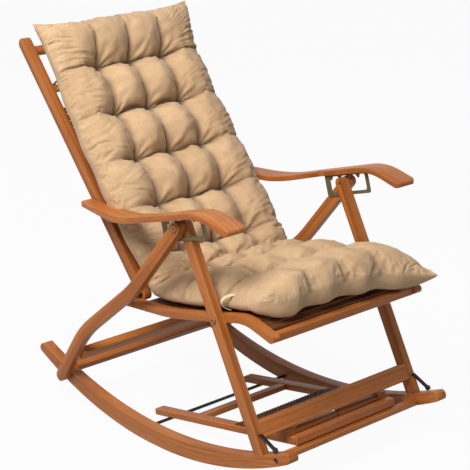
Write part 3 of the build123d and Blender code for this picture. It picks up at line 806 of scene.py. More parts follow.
@dataclass
class Ironwork:
    """Brackets, stays, pins and bolts: the nodes stay, with an eased edge and a steel finish."""

    edge: float = 0.0005
    edge_angle: float = 0.7
    bronzed: tuple[str, ...] = ("seat_bolt", "arm_pin", "fold_pin")

    def bronze(self, name: str, bolt: BoltFinish) -> Optional[Material]:
        """Make a bronzed finish for a bolt that shows its head in the wood.

        Args:
            name: Name of the node.
            bolt: The bolts' finish.

        Returns:
            The material, or nothing for other steel.
        """
        if not name.startswith(self.bronzed):
            return None
        points = mesh_coordinates(frame["nodes"][name].data)
        middle = (points.min(axis=0) + points.max(axis=0)) / 2
        return bolt.material((float(middle[1]), float(middle[2])))

    def build(self, bracket: Material, dark: Material, bolt: BoltFinish) -> None:
        """Dress the steel nodes.

        Args:
            bracket: Finish of the toothed brackets.
            dark: Finish of all other steel.
            bolt: Finish of the bolts whose heads show.
        """
        for name, slot in node_slots().items():
            if slot not in ("bracket_steel", "dark_steel"):
                continue
            node = frame["nodes"][name]
            weld = node.modifiers.new("weld", "WELD")
            weld.merge_threshold = MERGE_DISTANCE
            round_edge = node.modifiers.new("round_edge", "BEVEL")
            round_edge.width = self.edge
            round_edge.segments = 2
            round_edge.limit_method = "ANGLE"
            round_edge.angle_limit = self.edge_angle
            node.data.materials.clear()
            plain = bracket if slot == "bracket_steel" else dark
            node.data.materials.append(self.bronze(name, bolt) or plain)
            log.info("%s: dressed in %s", name, node.data.materials[0].name)


def node_slots() -> dict[str, str]:
    """Each node's material slot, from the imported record.

    Returns:
        Slot name for each node name.
    """
    return {part["node"]: part["material_slot"] for part in frame["record"]["subparts"]}


@dataclass
class TuftedPad:
    """One quilted pad over the seat and the back: four columns of bulges between rows of tufts.

    A base line runs from the front seam along the seat, round the fold and up the back. Each station on it
    is (y, z, lean, crest, tuft, under, half width): lean is the angle in degrees by which the pad's
    thickness turns back from upright, crest and tuft are the heights of the bulges and the tufts, under is
    the underside. Places across run from -1 at the near side to 1, and places along are distances on the
    base line.
    """

    stations: tuple[tuple[float, ...], ...] = (
        (-0.4523, 0.3692, 0.0, 0.093, 0.082, 0.000, 0.226),
        (-0.4303, 0.3757, 0.0, 0.099, 0.086, 0.000, 0.228),
        (-0.3953, 0.3870, 0.0, 0.101, 0.080, 0.001, 0.231),
        (-0.3403, 0.3985, 0.0, 0.091, 0.056, 0.001, 0.232),
        (-0.2553, 0.3834, 0.0, 0.086, 0.046, 0.001, 0.228),
        (-0.1803, 0.3666, 0.0, 0.094, 0.056, 0.001, 0.228),
        (-0.1103, 0.3516, -1.0, 0.090, 0.056, 0.001, 0.226),
        (-0.0525, 0.3460, 11.0, 0.092, 0.074, 0.001, 0.225),
        (0.0195, 0.3392, 42.5, 0.100, 0.086, 0.003, 0.224),
        (0.0402, 0.3645, 48.0, 0.102, 0.066, 0.001, 0.224),
        (0.0718, 0.4031, 50.7, 0.102, 0.042, 0.001, 0.225),
        (0.1516, 0.5006, 50.7, 0.104, 0.036, 0.001, 0.226),
        (0.3112, 0.6956, 50.7, 0.106, 0.036, 0.002, 0.226),
        (0.3910, 0.7931, 50.7, 0.114, 0.052, 0.018, 0.224),
        (0.4392, 0.8519, 50.7, 0.128, 0.086, 0.040, 0.226),
        (0.4677, 0.8868, 50.7, 0.122, 0.106, 0.058, 0.230),
    )
    # Tuft rows and columns, and the bulges between them.
    seat_rows: tuple[int, ...] = (4, 6, 8)
    back_first: float = 0.060
    back_pitch: float = 0.126
    back_rows: int = 5
    back_corner: int = 8
    corner_before_pivot: float = 0.0226
    tuft_columns: tuple[float, ...] = (-0.46, 0.0, 0.46)
    row_half: float = 0.062
    column_half: float = 0.25
    saddle: float = 0.13
    bulge_powers: Pair = (1.9, 0.64)
    # Creases: rows fade towards the sides of the seat and the back, columns towards the top.
    row_fade: Pair = (0.38, 0.76)
    row_fade_span: float = 0.36
    column_fade: float = 0.10
    column_least: float = 0.35
    # Width and weights of the painted shade along the creases and at the tufts.
    crease_half: float = 0.008
    crease_weights: Pair = (0.75, 0.5)
    # The grid, how much closer its lines stand near the seams, and the window that rounds the stations.
    rows: int = 301
    columns: int = 97
    row_crowding: float = 0.6
    column_crowding: float = 0.5
    window: float = 0.022
    window_foot: float = 0.025
    window_samples: int = 15
    # The seam's height at both ends, and as a share of the crest at the sides of the seat and the back.
    front_seam: float = 0.052
    top_seam: float = 0.088
    end_reach: float = 0.05
    side_seam: Pair = (0.26, 0.44)
    side_seam_change: float = 0.12
    # Rounding towards the seam: powers at the sides, then at the ends.
    end_round: float = 0.060
    face_powers: tuple[Pair, Pair] = ((3.8, 0.58), (2.4, 0.52))
    under_powers: tuple[Pair, Pair] = ((9.0, 0.5), (4.0, 0.6))
    # The outline: pointed corners, the front's skew, arch and round near corner, scallops, the near side.
    ear_front: float = 0.024
    ear_near_less: float = 0.75
    ear_top: float = 0.014
    ear_reach: float = 0.045
    front_skew: float = 0.044
    front_tuck: float = 0.22
    front_arch: float = 0.015
    arch_reach: float = 0.075
    arch_shares: Point = (0.4, 0.9, 1.0)
    front_inset: float = 0.014
    corner_round: float = 0.085
    side_scallop: float = 0.0022
    end_scallop: float = 0.0045
    end_scallop_shares: Pair = (1.4, 0.35)
    near_extra: float = 0.008
    near_extra_place: float = 0.26
    near_extra_reach: float = 0.17
    half_span: float = 0.226
    # Wrinkles: folds round the tufts, gathers at the sides, puckers at the ends, and unevenness all over.
    wrinkle_half: float = 0.22
    fold_depth: float = 0.0021
    fold_reach: float = 0.017
    gather_depth: Pair = (0.0008, 0.0008)
    gather_reach: float = 0.014
    pucker_depth: float = 0.0036
    pucker_pitch: float = 0.0135
    pucker_reach: float = 0.045
    uneven_depth: float = 0.0008
    seed: int = 11
    # The cloth: half width of its flat map, the underside's place on it, and how it swells.
    cloth_half: float = 0.23
    cloth_under: float = 0.7
    hold_reach: float = 0.012
    swell_cap: float = 0.010
    pressure: float = 4.0
    frames: int = 20
    # The fold over the recline hinge.
    fold_row: int = 2
    fold_point: Point = (0.0, -0.0105, 0.375)
    fold_normal: Point = (0.0, 0.717, 0.697)
    fold_half: float = 0.025

    def lengths(self) -> np.ndarray:
        """Distance of each station along the base line, the sum of the steps before it.

        Returns:
            One distance for each station.
        """
        table = np.array(self.stations)
        step = np.hypot(np.diff(table[:, 0]), np.diff(table[:, 1]))
        return np.concatenate([[0.0], np.cumsum(step)])

    def row_places(self) -> np.ndarray:
        """Distances of the tuft rows: two on the seat, the fold and those of the back.

        Returns:
            One distance for each row.
        """
        marks = self.lengths()
        corner = marks[self.back_corner] + self.corner_before_pivot
        back = corner + self.back_first + self.back_pitch * np.arange(self.back_rows)
        return np.concatenate([marks[list(self.seat_rows)], back])

    def smooth_table(self, places: np.ndarray) -> np.ndarray:
        """Read the stations at any distances, with rounded changes.

        Linear interpolation is averaged over a short window, which rounds each station's corner.

        Args:
            places: Distances along the base line.

        Returns:
            One row of station values for each distance.
        """
        marks = self.lengths()
        table = np.array(self.stations)
        shifts = np.linspace(-self.window, self.window, self.window_samples)
        weight = 1.0 - np.abs(shifts) / self.window_foot
        weight = weight / weight.sum()
        room = np.minimum(places, marks[-1] - places) / self.window
        spread = places[:, None] + shifts[None, :] * np.clip(room, 0.0, 1.0)[:, None]
        columns = [np.interp(spread, marks, table[:, index]) @ weight for index in range(table.shape[1])]
        return np.stack(columns, axis=1)

    def off_row(self, places: np.ndarray) -> np.ndarray:
        """Distance from the nearest tuft row."""
        return np.abs(places[..., None] - self.row_places()).min(axis=-1)

    def off_column(self, across: np.ndarray) -> np.ndarray:
        """Distance across from the nearest tuft column."""
        return np.abs(across[..., None] - np.array(self.tuft_columns)).min(axis=-1)

    def off_end(self, places: np.ndarray) -> np.ndarray:
        """Distance from the nearer end of the base line."""
        return np.minimum(places, self.lengths()[-1] - places)

    def bulge(self, share: np.ndarray) -> np.ndarray:
        """Round profile of a bulge: nearly a half circle from a sharp crease at 0 to its crown at 1."""
        inner, outer = self.bulge_powers
        return (1.0 - (1.0 - np.clip(share, 0.0, 1.0)) ** inner) ** outer

    def heights(self, across: np.ndarray, places: np.ndarray, table: np.ndarray) -> np.ndarray:
        """Height of the pad's face above its base.

        The crest and tuft heights are mixed by the product of a column profile and a row profile. A saddle
        share keeps the lines between tufts above the tufts, and rows fade towards the side seams.

        Args:
            across: Place across on the grid.
            places: Place along on the grid.
            table: Station values for each distance.

        Returns:
            Heights on the grid.
        """
        column = self.bulge(self.off_column(across) / self.column_half)
        column = 1.0 - (1.0 - column) * self.column_share(places)
        row = self.bulge(self.off_row(places) / self.row_half)
        row = 1.0 - (1.0 - row) * self.row_share(across, places)
        both = column * row + self.saddle * (column * (1.0 - row) + row * (1.0 - column))
        tuft = table[:, 4][:, None]
        crest = table[:, 3][:, None]
        return tuft + (crest - tuft) * both

    def row_share(self, across: np.ndarray, places: np.ndarray) -> np.ndarray:
        """How much of a row's crease is left: all between the tufts, little near the side seams.

        Args:
            across: Place across on the grid.
            places: Place along on the grid.

        Returns:
            The share on the grid.
        """
        share = np.clip((np.abs(across) - self.tuft_columns[-1]) / self.row_fade_span, 0.0, 1.0)
        on_back = places > self.lengths()[self.back_corner]
        fade = np.where(on_back, self.row_fade[1], self.row_fade[0])
        return 1.0 - fade * share * share * (3.0 - 2.0 * share)

    def column_share(self, places: np.ndarray) -> np.ndarray:
        """How much of a column's crease is left: it fades out towards the top."""
        return np.clip((self.lengths()[-1] - places) / self.column_fade, self.column_least, 1.0)

    def creases(self, across: np.ndarray, places: np.ndarray) -> np.ndarray:
        """How deep the cloth lies in the creases, from 0 on the bulges to 1 at the tufts.

        Args:
            across: Place across on the fine grid.
            places: Place along on the fine grid.

        Returns:
            The share on the grid.
        """
        # This share is the mask of painted shade in the pad cloth's colour.
        row = np.exp(-((self.off_row(places) / self.crease_half) ** 2)) * self.row_share(across, places)
        off = self.off_column(across) * self.half_span
        column = np.exp(-((off / self.crease_half) ** 2)) * self.column_share(places)
        line, cross = self.crease_weights
        return np.clip(line * np.maximum(row, column) + cross * row * column, 0.0, 1.0)

    def ear(self, across: np.ndarray, places: np.ndarray) -> np.ndarray:
        """How far a point belongs to one of the four pointed corners, from 0 to 1."""
        return np.abs(across) ** 6 * np.exp(-((self.off_end(places) / self.ear_reach) ** 1.5))

    def rounding(self, across: np.ndarray, places: np.ndarray) -> Shape:
        """How far the face and the underside have left the seam, from 0 to 1.

        Each is the product of a superellipse across and one along, blunt on the face and sharp below.

        Args:
            across: Place across on the grid.
            places: Place along on the grid.

        Returns:
            The shares of the face and of the underside.
        """
        end_share = np.clip(self.off_end(places) / self.end_round, 0.0, 1.0)
        shares = []
        for sides, ends in (self.face_powers, self.under_powers):
            side = np.clip(1.0 - np.abs(across) ** sides[0], 0.0, 1.0) ** sides[1]
            shares.append(side * (1.0 - (1.0 - end_share) ** ends[0]) ** ends[1])
        return shares[0], shares[1]

    def seam_heights(self, crest: np.ndarray, under: np.ndarray, places: np.ndarray) -> np.ndarray:
        """Height of the seam: a share of the crest at the sides, led to a height of its own at both ends.

        Args:
            crest: Height of the bulges.
            under: Height of the underside.
            places: Place along on the grid.

        Returns:
            Heights on the grid.
        """
        marks = self.lengths()
        on_back = np.clip((places - marks[self.back_corner]) / self.side_seam_change + 0.5, 0.0, 1.0)
        share = self.side_seam[0] + (self.side_seam[1] - self.side_seam[0]) * on_back
        seam = under + (crest - under) * share
        front = np.exp(-((places / self.end_reach) ** 2))
        crown = np.exp(-(((marks[-1] - places) / self.end_reach) ** 2))
        return seam + front * (self.front_seam - seam) + crown * (self.top_seam - seam)

    def outline(self, across: np.ndarray, places: np.ndarray, arch: np.ndarray, width: np.ndarray) -> Shape:
        """Shape the pad's outline.

        Ears draw out the corners, scallops wave the edges between the tufts, the front is skewed, arched
        and rounded at its near corner, and the near side of the back stands out a little.

        Args:
            across: Place across on the grid.
            places: Place along on the grid.
            arch: How far a point belongs to the front's arch.
            width: Half width at each place along.

        Returns:
            The x of each point, and its shift along the base line.
        """
        marks = self.lengths()
        forward = places < marks[-1] / 2
        near = (1.0 - across) / 2
        ears = np.where(forward, self.ear_front * (1.0 - self.ear_near_less * near), self.ear_top)
        ears = self.ear(across, places) * ears
        skew = self.front_skew * near * np.clip(1.0 - places / self.front_tuck, 0.0, 1.0) ** 1.5
        skew = skew + self.front_inset * arch
        reach = self.corner_round / self.half_span
        beside = np.clip((-across - 1.0 + reach) / reach, 0.0, 1.0)
        before = np.clip(1.0 - places / self.corner_round, 0.0, 1.0)
        skew = skew + self.corner_round * before * (1.0 - np.sqrt(1.0 - beside**2 / 2.0))
        tuck = self.corner_round * beside * (1.0 - np.sqrt(1.0 - before**2 / 2.0))
        row = np.clip(self.off_row(places) / self.row_half, 0.0, 1.0)
        scallop = -self.side_scallop * np.cos(np.pi * row) * np.abs(across) ** 3
        column = np.clip(self.off_column(across) / self.column_half, 0.0, 1.0)
        inner = np.clip((1.0 - np.abs(across)) / 0.3, 0.0, 1.0)
        fade = np.exp(-((self.off_end(places) / self.end_reach) ** 2))
        wave = -self.end_scallop * np.cos(np.pi * column) * fade * inner
        wave = np.where(forward, -self.end_scallop_shares[0] * wave, self.end_scallop_shares[1] * wave)
        past = places - marks[self.back_corner] - self.near_extra_place
        extra = self.near_extra * np.exp(-((past / self.near_extra_reach) ** 2))
        half = width + scallop / np.maximum(np.abs(across), 0.2) + ears
        half = half + extra * np.clip(-across, 0.0, 1.0)
        return half * across + tuck, np.where(forward, -1.0, 1.0) * ears + wave + skew

    def surfaces(self, across: np.ndarray, places: np.ndarray) -> Shape:
        """Lay out the face and the underside, which meet in the seam.

        Each is a height above the base line times the leaning direction, and both come to the seam's
        height towards the seam.

        Args:
            across: Place across on the grid.
            places: Place along on the grid.

        Returns:
            Grids of x, y, z of the face and of the underside.
        """
        table = self.smooth_table(places[:, 0])
        face_share, under_share = self.rounding(across, places)
        arch = (1.0 - across**2) * np.exp(-((places / self.arch_reach) ** 2))
        top = self.heights(across, places, table)
        under = np.broadcast_to(table[:, 5][:, None], top.shape)
        seam = self.seam_heights(table[:, 3][:, None], under, places)
        top, seam, under = (level + share * self.front_arch * arch
                            for level, share in zip((top, seam, under), self.arch_shares))
        x, slide = self.outline(across, places, arch, table[:, 6][:, None])
        lean = np.radians(table[:, 2])[:, None]
        step = np.gradient(table[:, :2], places[:, 0], axis=0)
        step = step / np.linalg.norm(step, axis=1)[:, None]
        grids = []
        for height in (seam + (top - seam) * face_share, seam + (under - seam) * under_share):
            y = table[:, 0][:, None] - np.sin(lean) * height + step[:, 0][:, None] * slide
            z = table[:, 1][:, None] + np.cos(lean) * height + step[:, 1][:, None] * slide
            grids.append(np.stack([x, y, z], axis=-1))
        return grids[0], grids[1]

    def layout(self, rows: int, columns: int) -> Shape:
        """Grid of places across and along, closer together near the seams.

        Args:
            rows: Number of rows along the base line.
            columns: Number of columns across.

        Returns:
            The grids of place across and of place along.
        """
        even = np.linspace(0.0, 1.0, rows)
        even = even - self.row_crowding * np.sin(2.0 * np.pi * even) / (2.0 * np.pi)
        side = np.linspace(-1.0, 1.0, columns)
        across = side + self.column_crowding * np.sin(np.pi * side) / np.pi
        return np.meshgrid(across, self.lengths()[-1] * even)

    def indices(self, rows: int, columns: int) -> tuple[np.ndarray, np.ndarray]:
        """Vertex numbers of the face and the underside, which share those of the seam.

        Args:
            rows: Number of rows.
            columns: Number of columns.

        Returns:
            Two grids of vertex numbers.
        """
        face = np.arange(rows * columns).reshape(rows, columns)
        under = face.copy()
        inner = (rows - 2) * (columns - 2)
        under[1:-1, 1:-1] = rows * columns + np.arange(inner).reshape(rows - 2, columns - 2)
        return face, under

    def joined(self, face: np.ndarray, under: np.ndarray) -> tuple[np.ndarray, np.ndarray]:
        """Join the two grids into one closed mesh.

        Args:
            face: Grid of the face.
            under: Grid of the underside.

        Returns:
            The vertices and the faces, all pointing outwards.
        """
        rows, columns = face.shape[:2]
        upper, lower = self.indices(rows, columns)
        points = np.concatenate([face.reshape(-1, 3), under[1:-1, 1:-1].reshape(-1, 3)])
        faces = np.concatenate([grid_faces(upper), grid_faces(lower)[:, ::-1]])
        return points, faces

    def swell(self, points: np.ndarray, faces: np.ndarray, held: np.ndarray) -> np.ndarray:
        """Blow the pad up as cloth, held at its underside, its tufts and its fold.

        Args:
            points: The pad's vertices.
            faces: Its faces.
            held: Share by which each vertex is held, from 0 to 1.

        Returns:
            The swollen vertices, none further away than the cap.
        """
        cloth = new_object("pad_swelling", points, faces)
        group = cloth.vertex_groups.new(name="held")
        levels = np.unique(np.round(held, 1))
        for level in levels:
            group.add(np.flatnonzero(np.round(held, 1) == level).tolist(), float(level), "REPLACE")
        modifier = cloth.modifiers.new("cloth", "CLOTH")
        settings = modifier.settings
        settings.quality = 5
        settings.mass = 0.25
        settings.tension_stiffness = 12.0
        settings.compression_stiffness = 6.0
        settings.shear_stiffness = 4.0
        settings.bending_stiffness = 0.15
        settings.air_damping = 4.0
        settings.use_pressure = True
        settings.uniform_pressure_force = self.pressure
        settings.shrink_min = -0.035
        settings.vertex_group_mass = "held"
        settings.pin_stiffness = 1.0
        settings.effector_weights.gravity = 0.0
        modifier.collision_settings.use_self_collision = False
        modifier.point_cache.frame_start = 1
        modifier.point_cache.frame_end = self.frames
        scene = bpy.context.scene
        for number in range(1, self.frames + 1):
            scene.frame_set(number)
        done = cloth.evaluated_get(bpy.context.evaluated_depsgraph_get())
        moved = mesh_coordinates(done.data) - points
        scene.frame_set(1)
        bpy.data.objects.remove(cloth)
        far = np.linalg.norm(moved, axis=1, keepdims=True)
        log.info("pad swelling: farthest %.1f mm", far.max() * 1000.0)
        return points + moved * np.minimum(1.0, self.swell_cap / np.maximum(far, 1e-9))

    def refined(self, grid: np.ndarray) -> np.ndarray:
        """Double a grid's rows and columns by the cubic mean of four neighbours in line.

        Args:
            grid: Grid of points or values.

        Returns:
            The finer grid.
        """
        for axis in (0, 1):
            line = np.moveaxis(grid, axis, 0)
            first = 2.0 * line[:1] - line[1:2]
            last = 2.0 * line[-1:] - line[-2:-1]
            long = np.concatenate([first, line, last])
            middle = (9.0 * (long[1:-2] + long[2:-1]) - long[:-3] - long[3:]) / 16.0
            fine = np.empty((2 * len(line) - 1, *line.shape[1:]))
            fine[::2] = line
            fine[1::2] = middle
            grid = np.moveaxis(fine, 0, axis)
        return grid

    def waves(self, where: np.ndarray, length: tuple[float, float], count: int, seed: int) -> np.ndarray:
        """Seeded smooth noise: a sum of cosine waves of random direction and length.

        Args:
            where: Grid of flat places in metres.
            length: Shortest and longest wave.
            count: Number of waves.
            seed: Seed of the random numbers.

        Returns:
            Noise on the grid, about -1 to 1.
        """
        random = np.random.default_rng(seed)
        turn = random.uniform(0.0, 2.0 * np.pi, count)
        number = 2.0 * np.pi / random.uniform(length[0], length[1], count)
        vectors = np.stack([np.cos(turn) * number, np.sin(turn) * number])
        phase = random.uniform(0.0, 2.0 * np.pi, count)
        return np.cos(where @ vectors + phase).sum(axis=-1) / math.sqrt(count)

    def tuft_folds(self, flat: np.ndarray, bend: np.ndarray) -> np.ndarray:
        """Folds that fan out from each tuft as waves round it and die away.

        Args:
            flat: Grid of flat places in metres.
            bend: Noise that bends the folds.

        Returns:
            Outward shift in metres.
        """
        random = np.random.default_rng(self.seed + 1)
        result = np.zeros_like(bend)
        for row in self.row_places():
            for column in self.tuft_columns:
                off = flat - np.array((column * self.wrinkle_half, row))
                radius = np.hypot(off[..., 0], off[..., 1])
                angle = np.arctan2(off[..., 1], off[..., 0])
                count = int(random.integers(8, 12))
                fold = np.cos(count * angle + random.uniform(0.0, 6.3) + 1.1 * bend)
                fade = radius / self.fold_reach * np.exp(1.0 - radius / self.fold_reach)
                result += self.fold_depth * fold * fade
        return result

    def gathers(self, across: np.ndarray, places: np.ndarray, bend: np.ndarray) -> np.ndarray:
        """Gathers between the outer tufts and the side seams: noise on a fan that widens to the seam.

        Args:
            across: Place across on the fine grid.
            places: Place along on the fine grid.
            bend: Noise that bends the gathers.

        Returns:
            Outward shift in metres.
        """
        beyond = np.clip(np.abs(across) - self.tuft_columns[-1], 0.0, None) * self.half_span
        fan = self.off_row(places) / (0.42 + 0.58 * np.clip(beyond / 0.10, 0.0, 1.0))
        drawn = np.stack([beyond * 0.10 + places * 0.31, fan + 0.0015 * bend], axis=-1)
        gather = self.waves(drawn, (0.008, 0.018), 26, self.seed + 3)
        edge = np.exp(-(1.0 - np.abs(across)) / 0.22)
        rise = 1.0 - np.exp(-beyond / self.gather_reach)
        return (self.gather_depth[0] + self.gather_depth[1] * edge) * gather * rise

    def puckers(self, across: np.ndarray, places: np.ndarray, bend: np.ndarray) -> np.ndarray:
        """Puckers along the front and the top: rounded ridges of a bent sine that die away inwards."""
        ridge = np.abs(np.sin(np.pi * across * self.wrinkle_half / self.pucker_pitch + 2.4 * bend)) ** 0.7
        return self.pucker_depth * (ridge - 0.6) * np.exp(-self.off_end(places) / self.pucker_reach)

    def calm(self, across: np.ndarray, places: np.ndarray) -> np.ndarray:
        """Share of the wrinkles that is left: none in the seam, little at the front's near corner.

        Args:
            across: Place across on the grid.
            places: Place along on the grid.

        Returns:
            The share on the grid.
        """
        rim = np.clip((1.0 - np.abs(across)) / 0.02, 0.0, 1.0)
        rim = rim * np.clip(np.minimum(places, places.max() - places) / 0.006, 0.0, 1.0)
        corner = np.hypot(1.0 + across, places / self.half_span)
        return rim * np.clip(corner / 0.6 - 0.25, 0.1, 1.0)

    def wrinkles(self, across: np.ndarray, places: np.ndarray) -> np.ndarray:
        """Depth of all wrinkles on the face.

        Args:
            across: Place across on the fine grid.
            places: Place along on the fine grid.

        Returns:
            Outward shift in metres.
        """
        flat = np.stack([across * self.wrinkle_half, places], axis=-1)
        bend = self.waves(flat, (0.03, 0.08), 12, self.seed)
        gate = np.clip(0.5 + 0.7 * self.waves(flat, (0.05, 0.12), 10, self.seed + 2), 0.0, 1.0)
        depth = self.tuft_folds(flat, bend)
        depth = depth + self.gathers(across, places, bend) * (0.4 + 0.6 * gate)
        depth = depth + self.puckers(across, places, bend) * gate
        depth = depth + self.uneven_depth * self.waves(flat, (0.02, 0.05), 16, self.seed + 4)
        return depth * self.calm(across, places)

    def normals(self, grid: np.ndarray) -> np.ndarray:
        """Unit normals of a grid: the cross product of its two directions."""
        cross = np.cross(np.gradient(grid, axis=1), np.gradient(grid, axis=0))
        return cross / np.maximum(np.linalg.norm(cross, axis=-1, keepdims=True), 1e-12)

    def held(self, across: np.ndarray, places: np.ndarray) -> np.ndarray:
        """Share by which each vertex is held while the pad swells: tufts, fold, seam and underside.

        Args:
            across: Place across on the grid.
            places: Place along on the grid.

        Returns:
            One share for each vertex, those of the face first.
        """
        off = np.hypot(self.off_row(places), self.off_column(across) * self.wrinkle_half)
        tuft = np.exp(-((off / self.hold_reach) ** 2))
        fold = np.exp(-(((places - self.row_places()[self.fold_row]) / self.hold_reach) ** 2))
        seam = (np.abs(across) > 0.999) | (places <= 0.0) | (places >= places.max() - 1e-9)
        face = np.clip(tuft + fold + seam * 0.9, 0.0, 1.0)
        return np.concatenate([face.ravel(), np.ones((self.rows - 2) * (self.columns - 2))])

    def build(self, cloth: Material) -> np.ndarray:
        """Make the pad and dress it.

        Args:
            cloth: The pad's finish.

        Returns:
            The places of its tufts, row by row.
        """
        across, places = self.layout(self.rows, self.columns)
        points, faces = self.joined(*self.surfaces(across, places))
        points = self.swell(points, faces, self.held(across, places))
        upper, lower = self.indices(self.rows, self.columns)
        face, under = self.refined(points[upper]), self.refined(points[lower])
        across, places = self.refined(across), self.refined(places)
        face = face + self.normals(face) * self.wrinkles(across, places)[..., None]
        points, faces = self.joined(face, under)
        flat = np.stack([across * self.cloth_half, places], axis=-1)
        beside = flat[1:-1, 1:-1].reshape(-1, 2) + (self.cloth_under, 0.0)
        pad = new_object("tufted_pad", points, faces, np.concatenate([flat.reshape(-1, 2), beside]))
        # Painted shade: the crease share darkens the cloth's colour in the creases and at the tufts.
        crease = np.zeros(len(points), np.float32)
        crease[: across.size] = self.creases(across, places).ravel()
        pad.data.attributes.new("crease", "FLOAT", "POINT").data.foreach_set("value", crease)
        dress(pad, cloth)
        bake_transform(pad)
        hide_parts("seat_cushion", "back_cushion")
        return self.tuft_points(across, places, face)

    def tuft_points(self, across: np.ndarray, places: np.ndarray, face: np.ndarray) -> np.ndarray:
        """Find the face's point at each tuft.

        Args:
            across: Place across on the fine grid.
            places: Place along on the fine grid.
            face: The fine face.

        Returns:
            Points by row and column.
        """
        line = np.abs(places[:, :1] - self.row_places()[None, :]).argmin(axis=0)
        column = np.abs(across[0][:, None] - np.array(self.tuft_columns)[None, :]).argmin(axis=0)
        return face[line[:, None], column[None, :]]


@dataclass
class TuftStitches:
    """Short bar stitches that draw the pad together at each tuft."""

    length: float = 0.010
    width: float = 0.0024
    half_rise: float = 1.2
    turns: int = 13
    seat_rows: int = 2

    def build(self, tufts: np.ndarray, thread: Material) -> None:
        """Make the seat's and the back's stitches, each set as one piece, with none in the fold's row.

        A stitch is an ellipsoid on a small grid, long across the chair.

        Args:
            tufts: Points by row and column.
            thread: The thread's finish.
        """
        size = np.array((self.length, self.width, self.width)) / 2
        stitch = ellipsoid(size, self.half_rise, self.turns)
        sets = {Region.SEAT: tufts[: self.seat_rows], Region.BACK: tufts[self.seat_rows + 1:]}
        for region, places in sets.items():
            points, faces = repeated(*stitch, places.reshape(-1, 3))
            piece = new_object("stitches_" + region.name.lower(), points, faces, points[:, :2])
            dress(piece, thread)
            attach(piece, region.value)


@dataclass
class PadTies:
    """Cream tapes that hold the pad: loops round a rail at its back, and open bows at the seat's sides."""

    width: float = 0.011
    thick: float = 0.0009
    middle_rail: Pair = (0.4110, 0.7831)
    back_turn: float = 129.3
    back_reach: Pair = (0.0235, 0.0098)
    back_shift: float = 0.0125
    back_x: float = 0.184
    loop_power: float = 0.6
    loop_sway: float = 0.03
    loop_length: float = 4.4
    seat_bend: tuple[Point, ...] = (
        (0.222, -0.284, 0.434), (0.248, -0.258, 0.430), (0.247, -0.252, 0.400), (0.224, -0.272, 0.395))
    seat_wide: Point = (0.0, 0.0036, 0.0008)
    seat_twist: Point = (0.0, 0.0, 0.5)
    seat_length: float = 0.05

    def loop(self, centre: np.ndarray, long: np.ndarray, short: np.ndarray, wide: np.ndarray) -> tuple:
        """One tape as a grid: a squared ellipse carried along the tape's width, with a slight sway.

        Args:
            centre: Middle of the loop.
            long: Half of the loop along its length.
            short: Half of the loop across.
            wide: Half of the tape's width.

        Returns:
            The vertices, faces and flat places.
        """
        turn, side = np.meshgrid(np.linspace(0.0, 2.0 * np.pi, 65), np.linspace(-1.0, 1.0, 7))
        cos, sin = squared_circle(turn, self.loop_power)
        cos = cos * (1.0 + self.loop_sway * np.sin(3.0 * turn + side))
        grid = centre + cos[..., None] * long + sin[..., None] * short + side[..., None] * wide
        length = np.linalg.norm(long) * self.loop_length
        flat = np.stack([side * np.linalg.norm(wide), turn / (2.0 * np.pi) * length], axis=-1)
        faces = grid_faces(np.arange(turn.size).reshape(turn.shape))
        return grid.reshape(-1, 3), faces, flat.reshape(-1, 2)

    def bow(self, corners: np.ndarray, wide: np.ndarray) -> tuple:
        """One tape as a grid: a cubic curve drawn by four points, carried along the tape's twisting width.

        Args:
            corners: The four points, of which the curve meets the first and the last.
            wide: Half of the tape's width.

        Returns:
            The vertices, faces and flat places.
        """
        run, side = np.meshgrid(np.linspace(0.0, 1.0, 41), np.linspace(-1.0, 1.0, 7))
        rest = 1.0 - run
        shares = np.stack([rest**3, 3.0 * run * rest**2, 3.0 * run**2 * rest, run**3], axis=-1)
        twist = (0.5 - run)[..., None] * np.array(self.seat_twist) * np.linalg.norm(wide)
        grid = shares @ corners + side[..., None] * (wide + twist)
        flat = np.stack([side * np.linalg.norm(wide), run * self.seat_length], axis=-1)
        faces = grid_faces(np.arange(run.size).reshape(run.shape))
        return grid.reshape(-1, 3), faces, flat.reshape(-1, 2)

    def finish(self, name: str, shape: tuple, tape: Material, region: Region) -> None:
        """Make one tape, give it its thickness and let it ride.

        Args:
            name: Name of the piece.
            shape: Its vertices, faces and flat places.
            tape: The tape's finish.
            region: The part of the pad that it is sewn to.
        """
        piece = new_object(name, *shape)
        wall = piece.modifiers.new("wall", "SOLIDIFY")
        wall.thickness = self.thick
        wall.offset = 0.0
        dress(piece, tape)
        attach(piece, region.value)

    def build(self, tape: Material) -> None:
        """Tie the back of the pad to the middle rail and sew a bow to the seat, on both sides.

        Args:
            tape: The tape's finish.
        """
        turn = math.radians(self.back_turn - 90.0)
        up = np.array((0.0, math.sin(turn), math.cos(turn)))
        out = np.array((0.0, -up[2], up[1]))
        for name, side in (("left", -1.0), ("right", 1.0)):
            middle = np.array((side * self.back_x, *self.middle_rail)) + out * self.back_shift
            shape = self.loop(middle, out * self.back_reach[0], up * self.back_reach[1],
                              np.array((self.width / 2, 0.0, 0.0)))
            self.finish("back_tie_" + name, shape, tape, Region.BACK)
            corners = np.array(self.seat_bend) * np.array((side, 1.0, 1.0))
            bow = self.bow(corners, np.array(self.seat_wide))
            self.finish("seat_tie_" + name, bow, tape, Region.SEAT)


